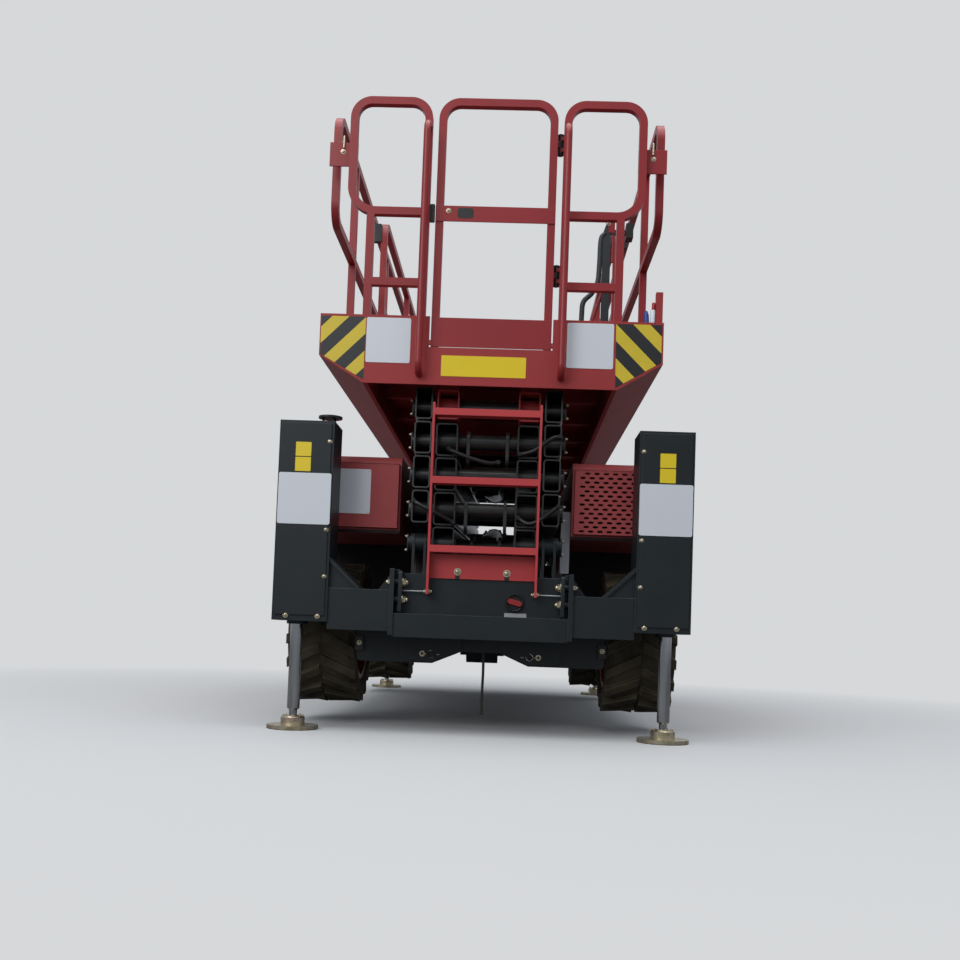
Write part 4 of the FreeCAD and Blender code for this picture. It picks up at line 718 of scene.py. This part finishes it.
# %% Doors
DOOR_LEFT, DOOR_RIGHT, DOOR_LOW, DOOR_HIGH = DOOR = (0.403, 0.882, 0.914, 1.212)
DOOR_SHEET = (DOOR_Y, DOOR_Y + 0.003)
DOOR_FOLD = (DOOR_Y, -1.660)
FOLD_SHEET = 0.002
SLOT_COLUMNS, SLOT_ROWS = 10, 14
PITCH, ROW_RISE, SLOT = 0.0425, 0.0205, (0.0135, 0.005)
AROUND = np.array([(1, 0), (1, 1), (0, 1), (-1, 1), (-1, 0), (-1, -1), (0, -1), (1, -1)])


def tiles(name, bounds, depths, body, look, slot=None):
    """Tiles from (left, right, low, high), front to back: middle + half size x eight directions."""
    left, right, low, high = np.asarray(bounds, float).T
    centre = np.stack([left + right, low + high], axis=-1)[:, None] / 2
    outer = centre + AROUND * np.stack([right - left, high - low], axis=-1)[:, None] / 2
    if slot is None:
        middle = centre + outer * 0
        rows = [middle, outer, outer, middle]
    else:
        across, tall = slot
        edge = AROUND * (across - tall, tall) + np.where(AROUND[:, 1:] == 0, AROUND * (tall, 0), 0)
        rows = [outer, centre + edge, centre + edge, outer]
    rows = np.stack(rows, axis=1)
    depth = np.repeat(depths, 2)[:, None] + rows[..., 0] * 0
    return mesh_piece(name, np.stack([rows[..., 0], depth, rows[..., 1]], axis=-1), body, look)


def door_edges(left, right, low, high):
    """Four strips that fold back from the door's rim to the hood."""
    return [(left, left + FOLD_SHEET, low, high), (right - FOLD_SHEET, right, low, high),
            (left, right, low, low + FOLD_SHEET), (left, right, high - FOLD_SHEET, high)]


def bounds_table(left, right, low, high):
    """One row of (left, right, low, high) for each tile, from arrays or single numbers."""
    return np.stack(np.broadcast_arrays(left, right, low, high), axis=-1).reshape(-1, 4)


column, row = np.meshgrid(np.arange(SLOT_COLUMNS), np.arange(SLOT_ROWS))
shift = 0.5 * (row % 2) - 0.25
slot_x = (DOOR_LEFT + DOOR_RIGHT) / 2 + (column - (SLOT_COLUMNS - 1) / 2 + shift) * PITCH
slot_z = (DOOR_LOW + DOOR_HIGH) / 2 + (row - (SLOT_ROWS - 1) / 2) * ROW_RISE
tile_left, tile_right = slot_x - PITCH / 2, slot_x + PITCH / 2
tile_low, tile_high = slot_z - ROW_RISE / 2, slot_z + ROW_RISE / 2
slotted = bounds_table(tile_left, tile_right, tile_low, tile_high)
grille = tiles("engine_door_sheet", slotted, DOOR_SHEET, "root", DOOR_RED, slot=SLOT)
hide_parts("engine_grille")

fillers = np.vstack([bounds_table(DOOR_LEFT, tile_left[:, 0], tile_low[:, 0], tile_high[:, 0]),
                     bounds_table(tile_right[:, -1], DOOR_RIGHT, tile_low[:, 0], tile_high[:, 0]),
                     bounds_table(DOOR_LEFT, DOOR_RIGHT, DOOR_LOW, tile_low[0, 0]),
                     bounds_table(DOOR_LEFT, DOOR_RIGHT, tile_high[-1, 0], DOOR_HIGH)])
left_door = (-DOOR_RIGHT, -DOOR_LEFT, DOOR_LOW, DOOR_HIGH)
for name, bounds, depths in (("engine_door_rim", fillers, DOOR_SHEET),
                             ("engine_door_folds", door_edges(*DOOR), DOOR_FOLD),
                             ("left_door_sheet", [left_door], DOOR_SHEET),
                             ("left_door_folds", door_edges(*left_door), DOOR_FOLD)):
    tiles(name, bounds, depths, "root", DOOR_RED)
print("slots", slotted.shape[0])

# %% [markdown]
# ## Fasteners
# Each group of bolts is one mesh, as all of its bolts sit on the same rigid body. Domed nuts
# face inwards on the ears at the chassis ends, where the outriggers bolt on, and their heads
# show outside the flanges. Button heads hold the jack boxes' covers and the ladder. Dark discs
# behind the lashing holes and a dark plate for the gate's finger slot are painted shade that only
# looks like openings. A white sheet by the engine hood's inner side wall is painted light, for the
# daylight seen through that perforated wall.

# %% Bolts on the chassis
def bolts(name, centres, outward, radius, body, nut=True, washer=1.5):
    """Bolt heads in their zinc."""
    bolt_heads(name, centres, outward, radius, body, ZINC, nut, washer)


FLANGE_X = 0.398
STILE_Y, STILE_Z = -1.905, 0.622
COVER_BOLT_Y = -1.9564
COVER_BOLTS = [(x, COVER_BOLT_Y, z) for x, z in ((0.685, 1.258), (0.685, 0.872), (0.685, 0.669),
                                                 (0.705, 0.497), (0.844, 0.497))]
EAR_BOLTS = [(y, z) for y in (-EAR_BOLT_Y, EAR_BOLT_Y) for z in EAR_BOLT_HEIGHTS]
INNER_BOLTS = [(y, z) for y in (-1.793, 1.793) for z in (0.676, 0.50)]
EAR_NUTS = [(EAR_X, y, z) for y, z in EAR_BOLTS]
FLANGE_HEADS = [(FLANGE_X, y, z) for y, z in EAR_BOLTS + INNER_BOLTS]
RING = [(0.0065, 0.0), (0.0065, 0.005), (0.013, 0.005), (0.013, 0.0), (0.0065, 0.0)]

for side, label in SIDES:
    flip, outside, inside = np.array((side, 1, 1)), (side, 0, 0), (-side, 0, 0)
    bolts(f"ear_nuts_{label}", EAR_NUTS * flip, inside, 0.0145, "root")
    bolts(f"flange_heads_{label}", FLANGE_HEADS * flip, outside, 0.012, "root")
    bolts(f"cover_bolts_{label}", COVER_BOLTS * flip, FRONT, 0.0082, "root", nut=False)
    bolts(f"far_cover_bolts_{label}", COVER_BOLTS * flip * (1, -1, 1), BACK, 0.0082, "root", nut=False)
    bolts(f"stile_heads_{label}", [(side * 0.240, STILE_Y, STILE_Z)], outside, 0.0085, "root")
    bolts(f"stile_nuts_{label}", [(side * 0.230, STILE_Y, STILE_Z)], inside, 0.0085, "root")
    turned_piece(f"stile_rod_{label}", [(side * 0.240, -1.900, STILE_Z)], outside,
                 drum(0.003, 0, 0.106), "root", STEEL, sides=12)
bolts("ladder_bolts", mirror_pair((0.108, LADDER_PLATE_Y, 0.713)), FRONT, 0.0105, "root", nut=False,
      washer=1.55)
bolts("skid_block_bolts", mirror_pair((0.548, -1.735, 0.386)), FRONT, 0.0075, "root")
turned_piece("lashing_eyes", mirror_pair((0.262, -1.727, 0.3468)), FRONT, RING, "root", ZINC)
turned_piece("lashing_tails", mirror_pair((0.252, -1.7295, 0.3465)), UP, drum(0.009, -0.0025, 0.0025),
             "root", ZINC, sides=4)
flat_plate("lashing_pins", mirror_pair((0.1895, -1.727, 0.345)), FRONT, (0.014, 0.004), "root", STEEL,
           thickness=0.004, corner=0.0018)
# Painted shade: dark discs stand for the inside of the lashing holes.
turned_piece("lashing_hole_shade", mirror_pair((0.223, -1.702, 0.346)), FRONT, drum(0.0155, 0, 0.010),
             "root", MATT)
bolts("gate_bolt", [(-0.211, -1.8625, 2.336)], FRONT, 0.0075, "gate", nut=False)
# Painted shade: a dark plate stands for the gate's finger slot.
flat_plate("gate_finger_slot_shade", (-0.134, -1.8625, 2.3265), FRONT, (0.072, 0.046), "gate", MATT,
           thickness=0.0008, corner=0.012)
# Painted light: a white sheet by the engine hood's inner side wall stands for the daylight seen through
# that perforated wall.
flat_plate("painted_daylight_sheet", (0.374, -1.560, 0.885), FRONT, (0.042, 0.290), "root",
           (white_vinyl, "control_plastic"), thickness=0.002)
rivets = [np.add(RATING_PLATE, (x, -0.0012, z)) for x in (-0.070, 0.070) for z in (-0.095, 0.095)]
bolts("rating_plate_rivets", rivets, FRONT, 0.0022, "root", nut=False)

# %% [markdown]
# ## Keepers on the pins
# A cross plate with two bolts stops each pin from turning in its arm. The plates sit on the
# pins' end faces, so each group rides on the arms that the pin belongs to. Each jack's hub has
# a circle of small bolts, which ride on the jack.

# %% Keeper plates
PIN_Y = 1.67
PIN_END = 0.350
ROW = 0.1575
PIVOT_HEIGHT = 0.85
KEEPER_SHEET = 0.005
KEEPER_BOLT_LIFT = 0.031
HUB_X, HUB_Y, HUB_Z = 0.812, 1.850, 0.0555
HUB_CIRCLE = 0.042
HUB_BOLTS, HUB_FIRST_ANGLE = 8, 0.2


def keepers(name, spots, body):
    """Plates and bolts on both ends of the pins at these (y, z)."""
    for side, label in SIDES:
        centres = np.array([(side * PIN_END, y, z) for y, z in spots])
        flat_plate(f"{name}_keepers_{label}", centres, (side, 0, 0), (0.030, 0.086), body,
                   (arm_paint, "black_paint"), thickness=KEEPER_SHEET, corner=0.012)
        ends = np.vstack([centres + (side * KEEPER_SHEET, 0, lift)
                          for lift in (-KEEPER_BOLT_LIFT, KEEPER_BOLT_LIFT)])
        bolts(f"{name}_keeper_bolts_{label}", ends, (side, 0, 0), 0.0065, body, washer=1.3)


groups = [("pivot", [(-PIN_Y, PIVOT_HEIGHT)], "root")]
for level in (1, 2, 3, 4):
    rear = [(PIN_Y, PIVOT_HEIGHT + (level - 1) * ROW)] if level > 1 else []
    front = [(-PIN_Y, PIVOT_HEIGHT + level * ROW)]
    centre = [(0.0, PIVOT_HEIGHT + (level - 0.5) * ROW)]
    groups += [(f"outer_{level}", front + rear, f"arms_outer_{level}"),
               (f"centre_{level}", centre, f"arms_inner_{level}")]
for name, spots, body in groups:
    keepers(name, spots, body)
turn_at = np.linspace(0, 2 * math.pi, HUB_BOLTS, endpoint=False) + HUB_FIRST_ANGLE
for row, end in ENDS:
    for side, label in SIDES:
        circle_of_bolts = np.stack([side * HUB_X + HUB_CIRCLE * np.cos(turn_at),
                                    row * HUB_Y + HUB_CIRCLE * np.sin(turn_at),
                                    HUB_Z + 0 * turn_at], axis=-1)
        bolts(f"hub_bolts_{end}_{label}", circle_of_bolts, UP, 0.0045, f"jack_{end}_{label}")
print("pins with keepers", sum(len(spots) for _, spots, _ in groups))

# %% [markdown]
# ## Hinges, latches and the isolator
# The gate's hinges are black: a sleeve in the middle that turns with the gate and two on the
# rail. The battery isolator is a black ring round a dished dial with a red key across it,
# turned a little from level. The dial and its key stand for the CAD node.

# %% Hinges and isolator
HINGE = (0.283, -1.812)
HINGES = (("low", 2.066), ("high", 2.670))
SLEEVE = [(0.0, -0.5), (0.8, -0.5), (1.0, -0.46), (1.0, 0.46), (0.8, 0.5), (0.0, 0.5)]
SLEEVE_LENGTH = 0.030
SLEEVES = (("top", 0.0335, 0.0145, "platform"), ("middle", 0.0, 0.0155, "gate"),
           ("bottom", -0.0335, 0.0145, "platform"))
PIN_PROFILE = [(0, 0), (0.0045, 0), (0.0045, 0.052), (0.003, 0.056), (0, 0.056)]
ISOLATOR_X, ISOLATOR_Z = 0.147, 0.587
DIAL = [(0.0, 0.0), (0.041, 0.0), (0.041, 0.010), (0.037, 0.014), (0.032, 0.013), (0.028, 0.005),
        (0.012, 0.004), (0.011, 0.015), (0.0, 0.016)]
KEY_TILT = 0.27

for label, z in HINGES:
    for level, lift, radius, body in SLEEVES:
        profile = np.array(SLEEVE) * (radius, SLEEVE_LENGTH)
        turned_piece(f"hinge_{level}_{label}", [(*HINGE, z + lift)], UP, profile, body, MATT)
flat_plate("gate_latch", (-0.2835, -1.858, 2.320), FRONT, (0.024, 0.080), "platform", MATT,
           thickness=0.016, corner=0.005)
bolts("latch_bolts", mirror_pair((0.704, -1.8235, 2.612)), FRONT, 0.0075, "platform", nut=False)
turned_piece("latch_pins", mirror_pair((0.7005, -1.828, 2.628)), UP, PIN_PROFILE, "platform", ZINC,
             sides=12)

ring = turned_piece("isolator_ring", [(ISOLATOR_X, -1.880, ISOLATOR_Z)], FRONT, DIAL, "root", MATT,
                    sides=40)
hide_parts("battery_isolator")
flat_plate("isolator_key", (ISOLATOR_X, -1.894, ISOLATOR_Z), FRONT, (0.064, 0.023), "root",
           (red_plastic, "isolator_plastic"), thickness=0.014, corner=0.0112,
           upright=(math.sin(KEY_TILT), 0, math.cos(KEY_TILT)))
flat_plate("skid_blocks", mirror_pair((0.548, -1.715, 0.384)), FRONT, (0.037, 0.062), "root", MATT,
           thickness=0.020, corner=0.004)
print("hinge sleeves", len(HINGES) * len(SLEEVES))

# %% [markdown]
# ## Hoses and the control post
# Short hoses loop from one arm to the next in front of the tubes' open ends. They ride on the
# inner arms and stay ahead of the circle that the outer arms' ends sweep. On the platform, a
# bent grey tube and a red brace hold the control post.

# %% Hoses and bars
POST_Y = -1.2
FITTING = [(0, -0.016), (0.013, -0.016), (0.013, 0.008), (0.009, 0.014), (0, 0.014)]
HOSES = [("hose_upper_left", "arms_inner_3",
          [(-0.172, -1.775, 1.272), (-0.156, -1.80, 1.260), (-0.076, -1.805, 1.231),
           (0.006, -1.80, 1.211), (0.052, -1.785, 1.217)]),
         ("hose_upper_right", "arms_inner_3",
          [(0.146, -1.785, 1.257), (0.180, -1.80, 1.262), (0.219, -1.81, 1.277),
           (0.289, -1.81, 1.329), (0.325, -1.80, 1.339)]),
         ("hose_lower_left", "arms_inner_1",
          [(-0.320, -1.80, 1.030), (-0.292, -1.81, 1.012), (-0.219, -1.81, 0.978),
           (-0.141, -1.785, 0.940)]),
         ("hose_lower_right", "arms_inner_1",
          [(0.149, -1.785, 0.968), (0.196, -1.805, 0.943), (0.247, -1.81, 0.962),
           (0.326, -1.80, 1.024)])]
BARS = [("control_bar", 0.013, GREY, POST_Y,
         [(0.436, 1.702), (0.437, 1.95), (0.438, 2.075), (0.445, 2.143), (0.485, 2.188), (0.513, 2.245),
          (0.520, 2.34), (0.524, 2.465), (0.545, 2.500)]),
        ("control_brace", 0.011, RAIL, -1.19,
         [(0.405, 1.702), (0.491, 2.046), (0.550, 2.235)]),
        ("control_stay", 0.009, RAIL, POST_Y,
         [(0.583, 2.350), (0.584, 2.44), (0.583, 2.530)])]

for name, body, points in HOSES:
    hose(name, points, 0.010, body, (hose_rubber, "strap_rubber"))
    turned_piece(f"{name}_fittings", [points[0], points[-1]], FRONT, FITTING, body, DARK, sides=6)

post = cut_sheet("control_post", [(0.533, 1.702), (0.573, 1.702), (0.573, 2.560), (0.553, 2.560),
                                  (0.533, 2.500)], -1.192, "platform", GREY, thickness=0.016)
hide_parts("control_stand")
flat_plate("control_foot", (0.553, POST_Y, 1.700), UP, (0.110, 0.110), "platform", GREY,
           thickness=0.008)
cut_sheet("control_arm", [(0.570, 2.492), (0.650, 2.492), (0.650, 2.516), (0.570, 2.516)], -1.190,
          "platform", GREY, thickness=0.020)
cut_sheet("control_head", [(0.647, 2.469), (0.683, 2.469), (0.683, 2.543), (0.647, 2.543)], -1.165,
          "platform", (black_plastic, "control_plastic"), thickness=0.070)
for name, radius, look, y, points in BARS:
    hose(name, [(x, y, z) for x, z in points], radius, "platform", look, upright=BACK)
cut_sheet("control_bracket", [(0.560, 2.500), (0.592, 2.500), (0.592, 2.550), (0.582, 2.566),
                              (0.560, 2.566)], -1.2075, "platform", RAIL, thickness=0.004)
bolts("control_bolt", [(0.558, -1.2115, 2.548)], FRONT, 0.0085, "platform", nut=False)
print("hoses", len(HOSES), "bars", len(BARS))

# %% [markdown]
# ## The socket in the corner
# At the right front corner of the platform a white socket with a red cap and a blue plug stands
# behind the panel, beside the short red post. Black clamps hold the roll-out deck's front rail.

# %% Socket and clamps
SOCKET = [("socket_body", (0.7165, -1.850, 1.808), UP, white_vinyl, "control_plastic",
           [(0, 0), (0.011, 0), (0.0115, 0.010), (0.0115, 0.100), (0.0095, 0.104), (0, 0.104)]),
          ("socket_cap", (0.7195, -1.850, 1.912), UP, red_plastic, "red_paint",
           [(0, 0), (0.0075, 0), (0.0085, 0.004), (0.0085, 0.030), (0.006, 0.034), (0, 0.034)]),
          ("socket_plug", (0.6935, -1.850, 1.800), (-0.06, 0, 1), blue_plastic, "control_plastic",
           [(0, 0), (0.010, 0), (0.0115, 0.020), (0.0115, 0.085), (0.009, 0.098), (0.005, 0.108),
            (0, 0.109)])]
for name, spot, outward, finish, slot_name, profile in SOCKET:
    turned_piece(name, spot, outward, profile, "platform", (finish, slot_name))
flat_plate("deck_clamps", mirror_pair((0.686, -0.662, 2.660)), FRONT, (0.050, 0.100), "roll_out_deck",
           MATT, thickness=0.036, corner=0.006)

# %% [markdown]
# ## Floor and light
# The floor is a plain pale plane and the world a pale grey. Away from the machine the camera
# sees the floor fade into the world's own colour, so no horizon shows. To other rays the floor
# is darker, which shades the underside as asphalt does. Two large soft lamps stand for the sky.

# %% Floor, world and lamps
FLOOR_SIZE = 60.0
FADE_MIDDLE, FADE_WIDTH = 3.3, 3.6
PALE = srgb(214, 216, 218)


def seen_rays(start):
    """1 for rays from the camera, 0 for those that light the machine."""
    return start.node("ShaderNodeLightPath", out="Is Camera Ray")


def floor_material():
    """Matt near the machine; farther off, the camera sees it glow in the world's colour."""
    material, start, place = start_material("pale_floor")
    grain = noise(place, 30.0, 3.0)
    seen = seen_rays(start)
    colour = seen.mix(srgb(112, 112, 112), grain.mix(srgb(187, 189, 191), srgb(193, 195, 197)))
    surface = start.node("ShaderNodeBsdfPrincipled", None,
                         {"Base Color": colour, "Roughness": 0.9, "Specular IOR Level": 0.1})
    glow = start.node("ShaderNodeEmission", None, {"Color": PALE, "Strength": 1.0})
    distance = place.node("ShaderNodeVectorMath", {"operation": "LENGTH"}, {0: place}, out="Value")
    far = distance.above(FADE_MIDDLE, FADE_WIDTH) * seen
    start.node("ShaderNodeOutputMaterial", None, {
        0: start.node("ShaderNodeMixShader", None, {0: far, 1: surface, 2: glow})})
    return material


floor_mesh = bpy.data.meshes.new("floor")
half = FLOOR_SIZE / 2
floor_corners = [(-half, -half, 0), (half, -half, 0), (half, half, 0), (-half, half, 0)]
floor_mesh.from_pydata(floor_corners, [], [(0, 1, 2, 3)])
floor = bpy.data.objects.new("floor", floor_mesh)
bpy.context.scene.collection.objects.link(floor)
floor_mesh.materials.append(floor_material())

world = bpy.data.worlds.new("overcast")
bpy.context.scene.world = world
world.use_nodes = True
world.node_tree.nodes.clear()
sky = Flow(world.node_tree)
sky_seen = seen_rays(sky)
sky_light = sky.node("ShaderNodeBackground", None, {"Color": (0.78, 0.82, 0.88), "Strength": 0.55})
sky_shown = sky.node("ShaderNodeBackground", None, {"Color": PALE, "Strength": 1.0})
sky.node("ShaderNodeOutputWorld", None, {
    0: sky.node("ShaderNodeMixShader", None, {0: sky_seen, 1: sky_light, 2: sky_shown})})


def soft_lamp(name, spot, aim, size, power):
    """A square lamp of this width in metres and power in watts, aimed at a point."""
    lamp = bpy.data.objects.new(name, bpy.data.lights.new(name, "AREA"))
    lamp.data.size = size
    lamp.data.energy = power
    lamp.location = spot
    lamp.rotation_euler = (Vector(aim) - Vector(spot)).to_track_quat("-Z", "Y").to_euler()
    bpy.context.scene.collection.objects.link(lamp)


soft_lamp("sky_above", (0.0, -2.0, 9.0), (0, 0, 1.0), 9.0, 650)
soft_lamp("sky_front", (-5.0, -9.0, 6.0), (0, 0, 1.4), 6.0, 420)
bpy.context.scene.view_settings.view_transform = "Standard"
